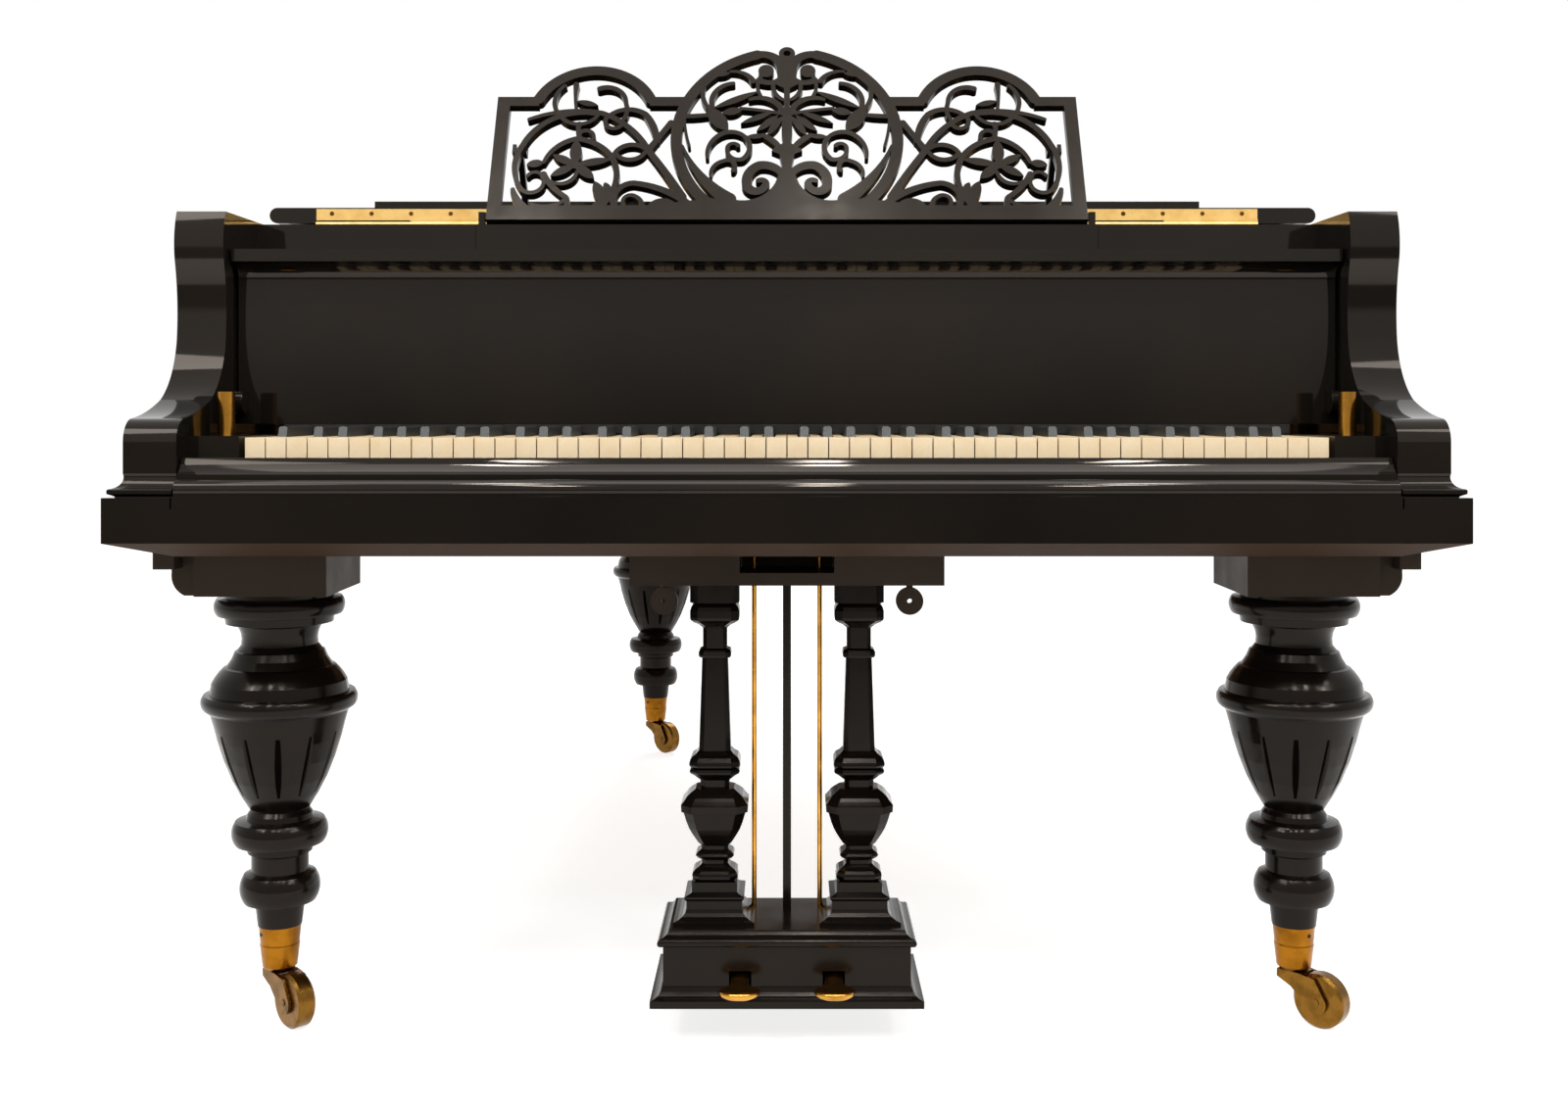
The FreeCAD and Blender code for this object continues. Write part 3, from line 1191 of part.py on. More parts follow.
hammer_y = S.front_y + S.hammer_setback
hammer_z = S.keybed_top + S.hammer_low
hammer_top = S.string_z - S.hammer_drop
stack_parts = [block((-reach, hammer_y - 24, hammer_z - 12), (reach, hammer_y, hammer_z + 14)),
               block((-reach, hammer_y + 40, hammer_z - 16), (reach, hammer_y + 62, hammer_z - 4))]
for x in (-reach, reach - S.frame_overhang / 2):
    stack_parts.append(block((x, S.key_back - rail_width, rail_top), (x + S.frame_overhang / 2, S.key_back, hammer_z)))
    stack_parts.append(block((x, hammer_y - 24, hammer_z - 16), (x + S.frame_overhang / 2, hammer_y + 62, hammer_z)))
share("action_frame", shaped("action_stack", [stack_parts[0].fuse(stack_parts[1:]).removeSplitter()]))
hammer_side = [(hammer_y, hammer_z), (hammer_y + 12, hammer_z - 2), (hammer_y + S.hammer_reach - 12, hammer_z),
               (hammer_y + S.hammer_reach - 12, hammer_z - 8), (hammer_y + S.hammer_reach + 10, hammer_z - 8),
               (hammer_y + S.hammer_reach + 8, hammer_top - 6), (hammer_y + S.hammer_reach, hammer_top),
               (hammer_y + S.hammer_reach - 8, hammer_top - 6), (hammer_y + S.hammer_reach - 12, hammer_z + 6),
               (hammer_y, hammer_z + 6)]
hammers = []
for note in range(NOTES):
    x = -S.half_keys + (note + 0.5) * 2 * S.half_keys / NOTES - S.hammer_width / 2
    hammers.append(prism([Vector(x, y, z) for y, z in hammer_side], Vector(S.hammer_width, 0, 0)))
solids("hammers", hammers)
DAMPED_NOTES = 66
dampers = []
damper_y = window_front + 14
for note in range(DAMPED_NOTES):
    front, back = string_ends(note)
    along_string = (damper_y - front.y) / (back.y - front.y)
    x = front.x + (back.x - front.x) * along_string
    z = front.z + S.string_width * (1.4 if note < BASS_NOTES else 1.0) + S.running_gap
    dampers.append(block((x - S.damper_width / 2, damper_y, z),
                         (x + S.damper_width / 2, damper_y + S.damper_length, z + S.damper_height)))
solids("dampers", dampers)

# Legs: (share of the height from the cup to the leg block, diameter), turned between arcs
LEG_TURNING = ((0.000, 52), (0.065, 58), (0.072, 84, 0.120, 94, 0.155, 84), (0.163, 67), (0.213, 67),
               (0.220, 76), (0.236, 76), (0.246, 104, 0.280, 113, 0.314, 104), (0.320, 80), (0.335, 76),
               (0.347, 69), (0.392, 91), (0.440, 111), (0.500, 130), (0.560, 145), (0.600, 153), (0.640, 162),
               (0.652, 176, 0.674, 183, 0.696, 176), (0.698, 163), (0.730, 158, 0.760, 142, 0.774, 131),
               (0.777, 124), (0.800, 112, 0.821, 105), (0.824, 100), (0.840, 90, 0.870, 90, 0.897, 99),
               (0.905, 126), (0.926, 128), (0.930, 146, 0.955, 153, 0.980, 146), (0.982, 126), (1.000, 126))


def leg_steps():
    """The leg's half profile, from its foot in the cup to its top."""
    steps = []
    span = S.leg_height - S.cup_top

    def at(share, diameter):
        return (diameter / 2, S.cup_top + share * span)

    for entry in LEG_TURNING:
        if len(entry) == 6:
            steps.append(at(*entry[:2]))
            steps.append(at(*entry[2:4]) + at(*entry[4:]))
        elif len(entry) == 4:
            steps.append(at(*entry[:2]))
            steps.append(at(*entry[2:]))
        else:
            steps.append(at(*entry))
    return steps


FLUTE_LOW = (0.40, 92)
FLUTE_HIGH = (0.585, 149)


def fluted_leg(name, x, y):
    """A turned leg with tapered flutes cut round its vase."""
    body = turned(name + "_turning", leg_steps())
    span = S.leg_height - S.cup_top
    low = Vector(FLUTE_LOW[1] / 2, 0, S.cup_top + FLUTE_LOW[0] * span)
    high = Vector(FLUTE_HIGH[1] / 2, 0, S.cup_top + FLUTE_HIGH[0] * span)
    ends = []
    for spot, size in ((low, 0.3 * S.flute_depth), (high, S.flute_depth)):
        half = 0.75 * (size + S.flute_reach)
        corners = [spot - Vector(size, 0, 0), spot + Vector(S.flute_reach, half, 0),
                   spot + Vector(S.flute_reach, -half, 0)]
        ends.append(Part.makePolygon(corners + corners[:1]))
    flute = Part.makeLoft(ends, True, True)
    count = int(S.flute_count)
    flutes = []
    for number in range(count):
        copy = flute.copy()
        copy.rotate(Vector(), Vector(0, 0, 1), 360 * (number + 0.5) / count)
        flutes.append(copy)
    tool = doc.addObject("Part::Feature", name + "_flutes")
    tool.Shape = Part.makeCompound(flutes)
    leg = cut(name + "_cut", body, [tool])
    place(leg, x, y)
    return share("legs", leg)


def castor(name, x, y):
    """Cup, swivelling horn with its stem and axle, and wheel."""
    cup_profile = [(S.cup_bottom_radius - 4, S.cup_bottom - 4), (S.cup_bottom_radius, S.cup_bottom),
                   (S.cup_bottom_radius + 3, S.cup_bottom + 26), (S.cup_top_radius - 2, S.cup_bottom + 28),
                   (S.cup_top_radius, S.cup_top)]
    cup = turned("cup_%s_turning" % name, cup_profile)
    socket = rod("cup_%s_socket" % name, "z", ("0", "0", "cup_bottom - 5"), "stem_radius + pin_clearance",
                 "stem_length + 6")
    share("castor_cups", place(cut("cup_%s_cut" % name, cup, [socket]), x, y))

    crown = S.cup_bottom - 4 - S.seat_gap
    trail = S.castor_trail
    side = [(-14, crown), (14, crown), (trail - 2, crown - 3), (trail + 12, S.wheel_radius + 3),
            (trail + 10, S.wheel_radius - 9, trail - 10, S.wheel_radius - 9), (4, S.wheel_radius + 12), (-14, crown - 9)]
    horn = padded("horn_%s_blank" % name, "XZ_Plane", [side], "0", "1")
    horn.Tip.setExpression("Length", bound("wheel_width + 2 * fork_clearance + 2 * fork_wall"))
    horn.setExpression("Placement.Base.y", bound("wheel_width / 2 + fork_clearance + fork_wall"))
    slot = rod("horn_%s_slot" % name, "y", ("castor_trail", "-wheel_width / 2 - fork_clearance", "wheel_radius"),
               "wheel_radius + 2", "wheel_width + 2 * fork_clearance")
    stem = rod("horn_%s_stem" % name, "z", ("0", "0", "cup_bottom - 12"), "stem_radius", "stem_length + 6")
    axle = rod("horn_%s_axle" % name, "y", ("castor_trail", "-wheel_width / 2 - fork_clearance - fork_wall - 1",
                                            "wheel_radius"), "axle_radius",
               "wheel_width + 2 * fork_clearance + 2 * fork_wall + 2")
    slotted = cut("horn_%s_slotted" % name, horn, [slot])
    keep("castor_horn_" + name, place(fuse("horn_%s_fuse" % name, [slotted, stem, axle]), x, y, "0", "castor_turn"))

    rim_round = 3
    wheel_profile = [(S.wheel_radius - rim_round, -S.wheel_width / 2),
                     (S.wheel_radius, -S.wheel_width / 2 + rim_round),
                     (S.wheel_radius, S.wheel_width / 2 - rim_round),
                     (S.wheel_radius - rim_round, S.wheel_width / 2)]
    wheel = turned("wheel_%s_turning" % name, wheel_profile)
    hub = rod("wheel_%s_bore" % name, "z", ("0", "0", "-wheel_width"), "axle_radius + pin_clearance",
              "2 * wheel_width")
    bored = cut("wheel_%s_cut" % name, wheel, [hub])
    stand = FreeCAD.Rotation(Vector(0, 0, 1), S.castor_turn).multiply(FreeCAD.Rotation(Vector(1, 0, 0), 90))
    bored.Placement = FreeCAD.Placement(Vector(), stand)
    for letter, text in zip("xyz", (x + " + castor_trail * cos(castor_turn)", y + " + castor_trail * sin(castor_turn)",
                                    "wheel_radius")):
        bored.setExpression("Placement.Base." + letter, bound(text))
    keep("castor_wheel_" + name, bored)


for name, x, y in (("front_left", "-leg_spread / 2", "lyre_y"), ("front_right", "leg_spread / 2", "lyre_y"),
                   ("rear", "rear_leg_x", "rear_leg_y")):
    fluted_leg("leg_" + name, x, y)
    share("leg_blocks", box("leg_block_%s_block" % name,
                                  (x + " - leg_block_width / 2", x + " + leg_block_width / 2"),
                                  (y + " - leg_block_width / 2", y + " + leg_block_width / 2"),
                                  ("leg_height", "keybed_bottom")))
    castor(name, x, y)

# Rounded ears beside the front leg blocks, with a toe under the keybed's bevel


def bevel_z(x):
    """Height of the keybed's underside at a place across it."""
    past = max(0, abs(x) - S.keybed_width / 2 + S.bevel_run)
    return S.keybed_bottom + past * S.bevel_rise / S.bevel_run


for side, sign in (("left", -1), ("right", 1)):
    face = sign * (S.leg_spread + S.leg_block_width) / 2
    bend = sign * (S.keybed_width / 2 - S.bevel_run)
    outer = face + sign * S.ear_width
    ear_side = [(face, S.leg_height), (face, S.keybed_bottom), (bend, S.keybed_bottom), (outer, bevel_z(outer)),
                (outer, S.leg_height + 0.9 * S.ear_width),
                (outer - sign * 0.14 * S.ear_width, S.leg_height + 0.3 * S.ear_width,
                 outer - sign * 0.5 * S.ear_width, S.leg_height)]
    ear = padded("ear_%s_plate" % side, "XZ_Plane", [ear_side],
                 "-lyre_y + leg_block_width / 2 - ear_setback - ear_depth", "ear_depth")
    toe_in = outer - sign * 0.4 * S.ear_width
    toe_out = outer + sign * 0.42 * S.ear_width
    toe_low = S.keybed_bottom - S.toe_drop
    toe_side = [(toe_in, toe_low), (toe_in, bevel_z(toe_in)), (toe_out, bevel_z(toe_out)), (toe_out, toe_low)]
    toe = padded("toe_%s_block" % side, "XZ_Plane", [toe_side],
                 "-lyre_y + leg_block_width / 2 - ear_setback - 5", "toe_depth")
    share("leg_blocks", fuse("ear_%s_fuse" % side, [ear, toe]))

# Lyre: block, two columns with cut corners, brace, pedal box
lyre_block = box("lyre_block_blank", ("-lyre_width / 2", "lyre_width / 2"),
                 ("front_y + lyre_setback", "front_y + lyre_setback + lyre_block_depth"),
                 ("lyre_block_bottom", "keybed_bottom"))
lyre_recess = box("lyre_recess", ("-lyre_recess_width / 2", "lyre_recess_width / 2"),
                  ("front_y + lyre_setback - 1", "front_y + lyre_setback + lyre_block_depth + 1"),
                  ("keybed_bottom - lyre_recess_height", "keybed_bottom + 1"))
rod_bores = [rod("rod_bore_%d" % number, "z", (x, "rod_y", "lyre_block_bottom - 1"), "rod_radius + pin_clearance",
                 "lyre_block_height") for number, x in enumerate(("-rod_spread / 2", "rod_spread / 2"))]
share("lyre_block", cut("lyre_block_cut", lyre_block, [lyre_recess] + rod_bores))

# (share of the height from the deck to the block, width) of a column's square foot, then of its turning
FOOT = ((0.000, 96), (0.008, 96), (0.011, 86), (0.018, 76), (0.027, 69), (0.037, 66), (0.061, 66), (0.068, 71),
        (0.074, 71), (0.080, 58), (0.084, 54), (0.112, 54))
COLUMN = ((0.110, 42), (0.114, 48), (0.120, 53), (0.128, 54), (0.136, 53), (0.143, 48), (0.148, 42), (0.152, 37),
          (0.160, 31), (0.171, 32), (0.178, 41), (0.186, 46), (0.193, 43), (0.203, 32), (0.214, 32), (0.222, 39),
          (0.236, 46), (0.253, 54), (0.270, 61), (0.290, 67), (0.312, 72), (0.320, 74), (0.322, 79), (0.343, 80),
          (0.349, 76), (0.357, 71), (0.366, 66), (0.374, 59), (0.382, 50), (0.386, 46), (0.387, 34), (0.411, 35),
          (0.416, 40), (0.424, 47), (0.434, 58), (0.440, 60), (0.447, 58), (0.450, 50), (0.454, 59), (0.460, 61),
          (0.470, 60), (0.482, 55), (0.489, 46), (0.500, 38), (0.775, 31), (0.778, 37), (0.784, 39), (0.794, 39),
          (0.800, 37), (0.805, 29), (0.866, 29), (0.876, 38), (0.884, 50), (0.892, 58), (0.900, 59), (0.920, 59),
          (0.932, 56), (0.940, 50), (0.945, 59), (1.000, 59))
column_span = S.lyre_block_bottom - S.deck_top


def ring_of(width, z, corner):
    """A square section whose corners are cut by a share of its width."""
    half = width / 2
    inner = half - corner * width
    points = []
    for x, y in ((1, -1), (1, 1), (-1, 1), (-1, -1)):
        long_way = Vector(x * half, y * inner, z)
        short_way = Vector(x * inner, y * half, z)
        pair = [long_way, short_way] if x * y > 0 else [short_way, long_way]
        points += pair if corner else pair[:1]
    return points


def stacked(steps, corner):
    """A solid with flat facets between level sections, each a (share, width) step."""
    rings = [ring_of(width, S.deck_top + share_z * column_span, corner) for share_z, width in steps]
    faces = [Part.Face(Part.makePolygon(ring + ring[:1])) for ring in (rings[0], rings[-1])]
    for low, high in zip(rings, rings[1:]):
        for index in range(len(low)):
            after = (index + 1) % len(low)
            corners = [low[index], low[after], high[after], high[index]]
            faces.append(Part.Face(Part.makePolygon(corners + corners[:1])))
    shell = Part.makeShell(faces)
    shell.sewShape()
    solid = Part.makeSolid(shell)
    if solid.Volume < 0:
        solid.reverse()
    return solid


column = stacked(FOOT, 0).fuse(stacked(COLUMN, 0.16))
for side, sign in (("left", -1), ("right", 1)):
    turning = column.copy()
    turning.translate(Vector(sign * S.column_spread / 2, S.lyre_y, 0))
    rod_way = Part.makeCylinder(S.rod_radius + 1, S.lyre_block_bottom - S.deck_top,
                                Vector(sign * S.rod_spread / 2, S.rod_y, S.deck_top))
    share("lyre_columns", shaped("lyre_column_" + side, [turning.cut(rod_way)]))
share("lyre_columns", box("lyre_brace_bar", ("-brace_bar / 2", "brace_bar / 2"),
                       ("rod_y - brace_bar / 2", "rod_y + brace_bar / 2"), ("deck_top", "lyre_block_bottom")))
knob_z = "lyre_block_bottom - knob_radius - knob_drop"
for number, x in enumerate(("-knob_place", "knob_place")):
    disc = rod("knob_disc_%d" % number, "y", (x, "lyre_y - knob_thickness / 2", knob_z), "knob_radius",
               "knob_thickness")
    neck = rod("knob_neck_%d" % number, "z", (x, "lyre_y", "lyre_block_bottom - 2 * knob_drop"), "knob_neck",
               "2 * knob_drop")
    eye = rod("knob_eye_%d" % number, "y", (x, "lyre_y - knob_thickness", knob_z), "knob_eye",
              "2 * knob_thickness")
    share("lyre_block", cut("knob_%d" % number, fuse("knob_fuse_%d" % number, [disc, neck]), [eye]))


def moulding(middle, half, steps):
    """A closed profile with the same (offset, height) moulding on both sides of its middle."""
    paths = []
    for sign in (1, -1):
        path = []
        for step in steps:
            across = [middle + sign * (half + offset) for offset in step[0::2]]
            path.append(tuple(value for pair in zip(across, step[1::2]) for value in pair))
        paths.append(path)
    return paths[0] + reversed_steps(paths[1])


base_edge = S.box_bottom + 0.4 * S.box_base_height
base_top = S.box_bottom + S.box_base_height
cap_low = S.box_top - S.box_cap_height
box_steps = [(S.box_base_proud, S.box_bottom), (S.box_base_proud, base_edge),
             (0.4 * S.box_base_proud, 0.7 * base_edge + 0.3 * base_top, 0.1 * S.box_base_proud, base_top),
             (0, base_top), (0, cap_low), (0.6 * S.box_cap_proud, cap_low),
             (S.box_cap_proud, (cap_low + S.box_top) / 2, 0.6 * S.box_cap_proud, S.box_top),
             (-0.4 * S.box_cap_proud, 0.7 * S.box_top + 0.3 * S.deck_top, -S.box_cap_proud, S.deck_top)]
box_outer = common("pedal_box_outer", [
    padded("box_front_run", "YZ_Plane", [moulding((S.box_front + S.box_back) / 2, S.box_depth / 2, box_steps)],
           "-box_width / 2 - box_base_proud", "box_width + 2 * box_base_proud"),
    padded("box_side_run", "XZ_Plane", [moulding(0, S.box_width / 2, box_steps)],
           "-box_back - box_base_proud", "box_depth + 2 * box_base_proud")])
box_cavity = box("box_cavity", ("-box_width / 2 + box_wall", "box_width / 2 - box_wall"),
                 ("box_front + box_wall", "box_back - box_wall"), ("box_bottom - 1", "box_top - box_wall"))
box_cuts = [box_cavity]
for number, sign in enumerate(("-", "")):
    box_cuts.append(box("pedal_slot_%d" % number,
                        (sign + "pedal_spread / 2 - pedal_shank / 2 - 2", sign + "pedal_spread / 2 + pedal_shank / 2 + 2"),
                        ("box_front - box_base_proud - 1", "box_front + box_wall + 1"),
                        ("pedal_z - pedal_thickness / 2 - 11", "pedal_z + pedal_thickness / 2 + 3")))
    box_cuts.append(rod("deck_bore_%d" % number, "z", (sign + "rod_spread / 2", "rod_y", "box_top - box_wall - 1"),
                        "rod_radius + pin_clearance", "box_wall + plinth_cap + 2"))
hollow_box = cut("pedal_box_hollow", box_outer, box_cuts)
cross_axle = rod("pedal_cross_axle", "x", ("-box_width / 2 + 1", "pedal_y", "pedal_z"), "pedal_axle", "box_width - 2")
share("pedal_box", fuse("pedal_box_fuse", [hollow_box, cross_axle]))
share("pedal_box", box("pedal_floor_board", ("-box_width / 2 + box_wall", "box_width / 2 - box_wall"),
                            ("box_front + box_wall", "box_back - box_wall"),
                            ("box_bottom", "box_bottom + box_floor")))

half_shank = S.pedal_shank / 2
tip = S.box_front - S.pedal_length
broad = S.pedal_width / 2
pedal_plan = [(-half_shank, S.pedal_y + S.pedal_tail), (-half_shank, S.box_front - 22),
              (-broad, S.box_front - 40), (-broad, tip + broad / 2), (0, tip, broad, tip + broad / 2),
              (broad, S.box_front - 40), (half_shank, S.box_front - 22), (half_shank, S.pedal_y + S.pedal_tail)]
for side, sign in (("left", "-"), ("right", "")):
    lever = padded("pedal_%s_lever" % side, "XY_Plane", [pedal_plan], "pedal_z - pedal_thickness / 2", "pedal_thickness")
    boss = rod("pedal_%s_boss" % side, "x", ("-pedal_shank / 2", "pedal_y", "pedal_z"), "2.2 * pedal_axle", "pedal_shank")
    toe = box("pedal_%s_toe" % side, ("-14 - pedal_shank / 2 + 6", "0") if side == "right" else
              ("0", "14 + pedal_shank / 2 - 6"), ("rod_y - 8", "rod_y + 8"),
              ("pedal_z - pedal_thickness / 2", "pedal_z + pedal_thickness / 2"))
    hole = rod("pedal_%s_hole" % side, "x", ("-pedal_shank", "pedal_y", "pedal_z"), "pedal_axle + pin_clearance",
               "2 * pedal_shank")
    pedal = cut("pedal_%s_cut" % side, fuse("pedal_%s_fuse" % side, [lever, boss, toe]), [hole])
    pedal.setExpression("Placement.Base.x", bound(sign + "pedal_spread / 2"))
    keep("pedal_" + side, pedal)
    keep("pedal_rod_" + side, rod("pedal_rod_%s_wire" % side, "z", (sign + "rod_spread / 2", "rod_y",
                                                                    "pedal_z + pedal_thickness / 2 + running_gap"),
                                  "rod_radius", "keybed_bottom - 15 - pedal_z - pedal_thickness / 2"))

for label, pieces in SHARED.items():
    together = doc.addObject("Part::Compound", label + "_set")
    together.Links = pieces
    keep(label, together)
doc.recompute()
for thing in doc.Objects:
    if "Invalid" in thing.State or "Error" in thing.State:
        raise RuntimeError("failed object: %s %s" % (thing.Name, thing.State))
for label, thing in NODES.items():
    if thing.Shape.isNull() or not thing.Shape.isValid() or not thing.Shape.Solids:
        raise RuntimeError("bad shape: " + label)
os.makedirs("parts", exist_ok=True)
for label, thing in NODES.items():
    thing.Shape.exportStep("parts/%s.step" % label)
print(len(NODES), "sub-parts")
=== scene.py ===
"""The look of a grand piano with its lid closed: finishes, small fittings, floor, light and camera."""

import logging
import math
from dataclasses import dataclass
from enum import Enum

import bmesh
import bpy
from mathutils import Matrix, Vector

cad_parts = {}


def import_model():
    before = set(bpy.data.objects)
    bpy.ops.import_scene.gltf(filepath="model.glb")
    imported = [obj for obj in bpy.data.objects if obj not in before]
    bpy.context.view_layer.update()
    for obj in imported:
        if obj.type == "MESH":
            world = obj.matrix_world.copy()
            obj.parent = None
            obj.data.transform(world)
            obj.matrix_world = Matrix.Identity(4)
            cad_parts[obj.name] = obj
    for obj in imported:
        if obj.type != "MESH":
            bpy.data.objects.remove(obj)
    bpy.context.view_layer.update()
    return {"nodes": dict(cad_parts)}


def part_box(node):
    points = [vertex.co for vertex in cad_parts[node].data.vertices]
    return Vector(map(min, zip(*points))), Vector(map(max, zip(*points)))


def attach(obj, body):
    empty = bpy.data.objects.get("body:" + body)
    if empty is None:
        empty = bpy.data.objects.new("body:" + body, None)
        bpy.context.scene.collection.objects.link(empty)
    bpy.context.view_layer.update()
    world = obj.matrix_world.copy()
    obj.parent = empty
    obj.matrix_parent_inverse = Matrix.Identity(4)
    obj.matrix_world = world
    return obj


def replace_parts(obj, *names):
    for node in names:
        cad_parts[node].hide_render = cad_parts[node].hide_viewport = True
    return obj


LOG = logging.getLogger("grand_piano")
MM = 0.001
MERGE_DISTANCE = 1e-6
CUT_TOLERANCE = 1e-7
# Levels in metres that no point of the piano lies above or below.
OVER_ALL = 9.0
BESIDE_ALL = -9.0
UNDER_ALL = -1.0
# Noise gathers round its middle value, so this span of it is stretched over a whole range.
MIDDLE = {"From Min": 0.3, "From Max": 0.7}
# A Mix node's numbered sockets for colours.
SHARE, FIRST, SECOND, MIXED = 0, 6, 7, 2

Tree = bpy.types.NodeTree
Socket = bpy.types.NodeSocket
Triple = tuple[float, float, float]


class Axis(Enum):
    """An axis, by its place in a vector."""

    X = 0
    Y = 1
    Z = 2


class Side(Enum):
    """A side of the pedal box, as it stands in the names of its pedal and rod."""

    LEFT = "left"
    RIGHT = "right"


class RecordSlot(Enum):
    """The record's material slot names, handed to each row of screws but not used."""

    BRASS = "brass"
    FELT = "hammer_felt"
    WOOD = "ebonised_wood"


def linear(code: str) -> tuple[float, float, float, float]:
    """Turn an sRGB hex value into a linear colour.

    Args:
        code: Six hex digits after a hash sign.

    Returns:
        Red, green, blue and an alpha of one.
    """
    parts = [int(code[i:i + 2], 16) / 255 for i in (1, 3, 5)]
    red, green, blue = (p / 12.92 if p <= 0.04045 else ((p + 0.055) / 1.055) ** 2.4 for p in parts)
    return red, green, blue, 1.0


def add_node(tree: Tree, kind: str, inputs: dict[str | int, object] | None = None,
             **settings: object) -> bpy.types.Node:
    """Add one node with its settings, values and links.

    Args:
        tree: The tree that takes the node.
        kind: The node's type name.
        inputs: A value or an output socket for each named or numbered input.
        settings: The node's own properties.

    Returns:
        The new node.
    """
    node = tree.nodes.new(kind)
    for key, value in settings.items():
        setattr(node, key, value)
    for key, value in (inputs or {}).items():
        if isinstance(value, Socket):
            tree.links.new(value, node.inputs[key])
        else:
            node.inputs[key].default_value = value
    return node


def spots(tree: Tree, place: Socket, size_mm: Triple, detail: float = 3.0) -> Socket:
    """Draw noise whose blotches have a real size on each axis.

    Args:
        tree: The material's node tree.
        place: Object coordinates, in metres.
        size_mm: The blotch size along X, Y and Z.
        detail: The noise's octaves.

    Returns:
        A value from 0 to 1.
    """
    sized = add_node(tree, "ShaderNodeMapping", {"Vector": place, "Scale": [1 / (s * MM) for s in size_mm]})
    noise = add_node(tree, "ShaderNodeTexNoise", {"Vector": sized.outputs[0], "Scale": 1.0, "Detail": detail})
    return noise.outputs["Fac"]


def beyond(tree: Tree, place: Socket, axis: Axis, level: float, above: bool = True) -> Socket:
    """Mask the points past a level on one axis.

    Args:
        tree: The material's node tree.
        place: Object coordinates, in metres.
        axis: The axis that is compared.
        level: The level, in metres.
        above: Whether the mask is 1 above the level or below it.

    Returns:
        1 or 0.
    """
    split = add_node(tree, "ShaderNodeSeparateXYZ", {0: place})
    return add_node(tree, "ShaderNodeMath", {0: split.outputs[axis.value], 1: level},
                    operation="GREATER_THAN" if above else "LESS_THAN").outputs[0]


@dataclass(frozen=True)
class Finish:
    """A surface finish that makes its own material once."""

    name: str

    def sockets(self, tree: Tree, place: Socket) -> dict[str, object]:
        """Give what goes into the shader.

        Args:
            tree: The material's node tree.
            place: Object coordinates, in metres.

        Returns:
            A value or a socket for each named input of the shader.
        """
        raise NotImplementedError

    def material(self) -> bpy.types.Material:
        """Find this finish's material, or make it on first use.

        Returns:
            The material.
        """
        found = bpy.data.materials.get(self.name)
        if found:
            return found
        material = bpy.data.materials.new(self.name)
        material.use_nodes = True
        tree = material.node_tree
        tree.nodes.clear()
        place = add_node(tree, "ShaderNodeTexCoord").outputs["Object"]
        shader = add_node(tree, "ShaderNodeBsdfPrincipled", self.sockets(tree, place))
        add_node(tree, "ShaderNodeOutputMaterial", {"Surface": shader.outputs["BSDF"]})
        return material

    def dress(self, piece: bpy.types.Object) -> None:
        """Give a piece this finish in its only material slot."""
        piece.data.materials.clear()
        piece.data.materials.append(self.material())


@dataclass(frozen=True)
class BlackPolish(Finish):
    """Ebonised wood under shellac polish: near black, warm where light gets in, with a soft deep gloss."""

    smooth: float = 0.035
    hazy: float = 0.09
    dark: str = "#0a0908"
    warm: str = "#14110e"
    gloss: float = 0.32
    # A warm tint on every reflection of the polish: a painted reflection colour that stands in for a warm room.
    sheen: str = "#fff0e2"
    haze_mm: float = 90.0
    # Real pores are about a tenth of a millimetre wide. They are drawn coarser, so that they show.
    pore_mm: float = 0.9
    pore_stretch: float = 12.0
    pore_depth_mm: float = 0.02
    pore_strength: float = 0.3
    # The underside's colour: brown stain together with a painted reflection of a wooden floor.
    bare: str = "#38291e"
    underside_level: float = UNDER_ALL
    bare_roughness: float = 0.6
    bare_dullness: float = 0.8

    def sockets(self, tree: Tree, place: Socket) -> dict[str, object]:
        """Draw cloudy gloss from handling, open pores, and a dull stained underside whose brown is partly a painted
        reflection of a wooden floor.

        Args:
            tree: The material's node tree.
            place: Object coordinates, in metres.

        Returns:
            A value or a socket for each named input of the shader.
        """
        haze = spots(tree, place, (self.haze_mm,) * 3)
        tone = spots(tree, place, (3 * self.haze_mm,) * 3, 2.0)
        along = self.pore_stretch * self.pore_mm
        pores = spots(tree, place, (along, along, self.pore_mm), 2.0)
        under = beyond(tree, place, Axis.Z, self.underside_level, above=False)
        share = add_node(tree, "ShaderNodeMapRange", {"Value": tone, **MIDDLE}).outputs[0]
        black = add_node(tree, "ShaderNodeMix", {SHARE: share, FIRST: linear(self.dark), SECOND: linear(self.warm)},
                         data_type="RGBA").outputs[MIXED]
        # Below the level, the underside takes its brown: stain together with a painted reflection of a wooden floor.
        colour = add_node(tree, "ShaderNodeMix", {SHARE: under, FIRST: black, SECOND: linear(self.bare)},
                          data_type="RGBA").outputs[MIXED]
        cloud = add_node(tree, "ShaderNodeMapRange", {"Value": haze, **MIDDLE, "To Min": self.smooth,
                                                      "To Max": self.hazy}).outputs[0]
        rough = add_node(tree, "ShaderNodeMath", {0: under, 1: self.bare_roughness, 2: cloud},
                         operation="MULTIPLY_ADD").outputs[0]
        shine = add_node(tree, "ShaderNodeMath", {0: under, 1: -self.bare_dullness * self.gloss, 2: self.gloss},
                         operation="MULTIPLY_ADD").outputs[0]
        normal = add_node(tree, "ShaderNodeBump", {"Height": pores, "Strength": self.pore_strength,
                                                   "Distance": self.pore_depth_mm * MM}).outputs[0]
        # The specular tint paints the polish's reflections warm.
        return {"Base Color": colour, "Roughness": rough, "Normal": normal, "IOR": 1.5, "Specular IOR Level": shine,
                "Specular Tint": linear(self.sheen)}


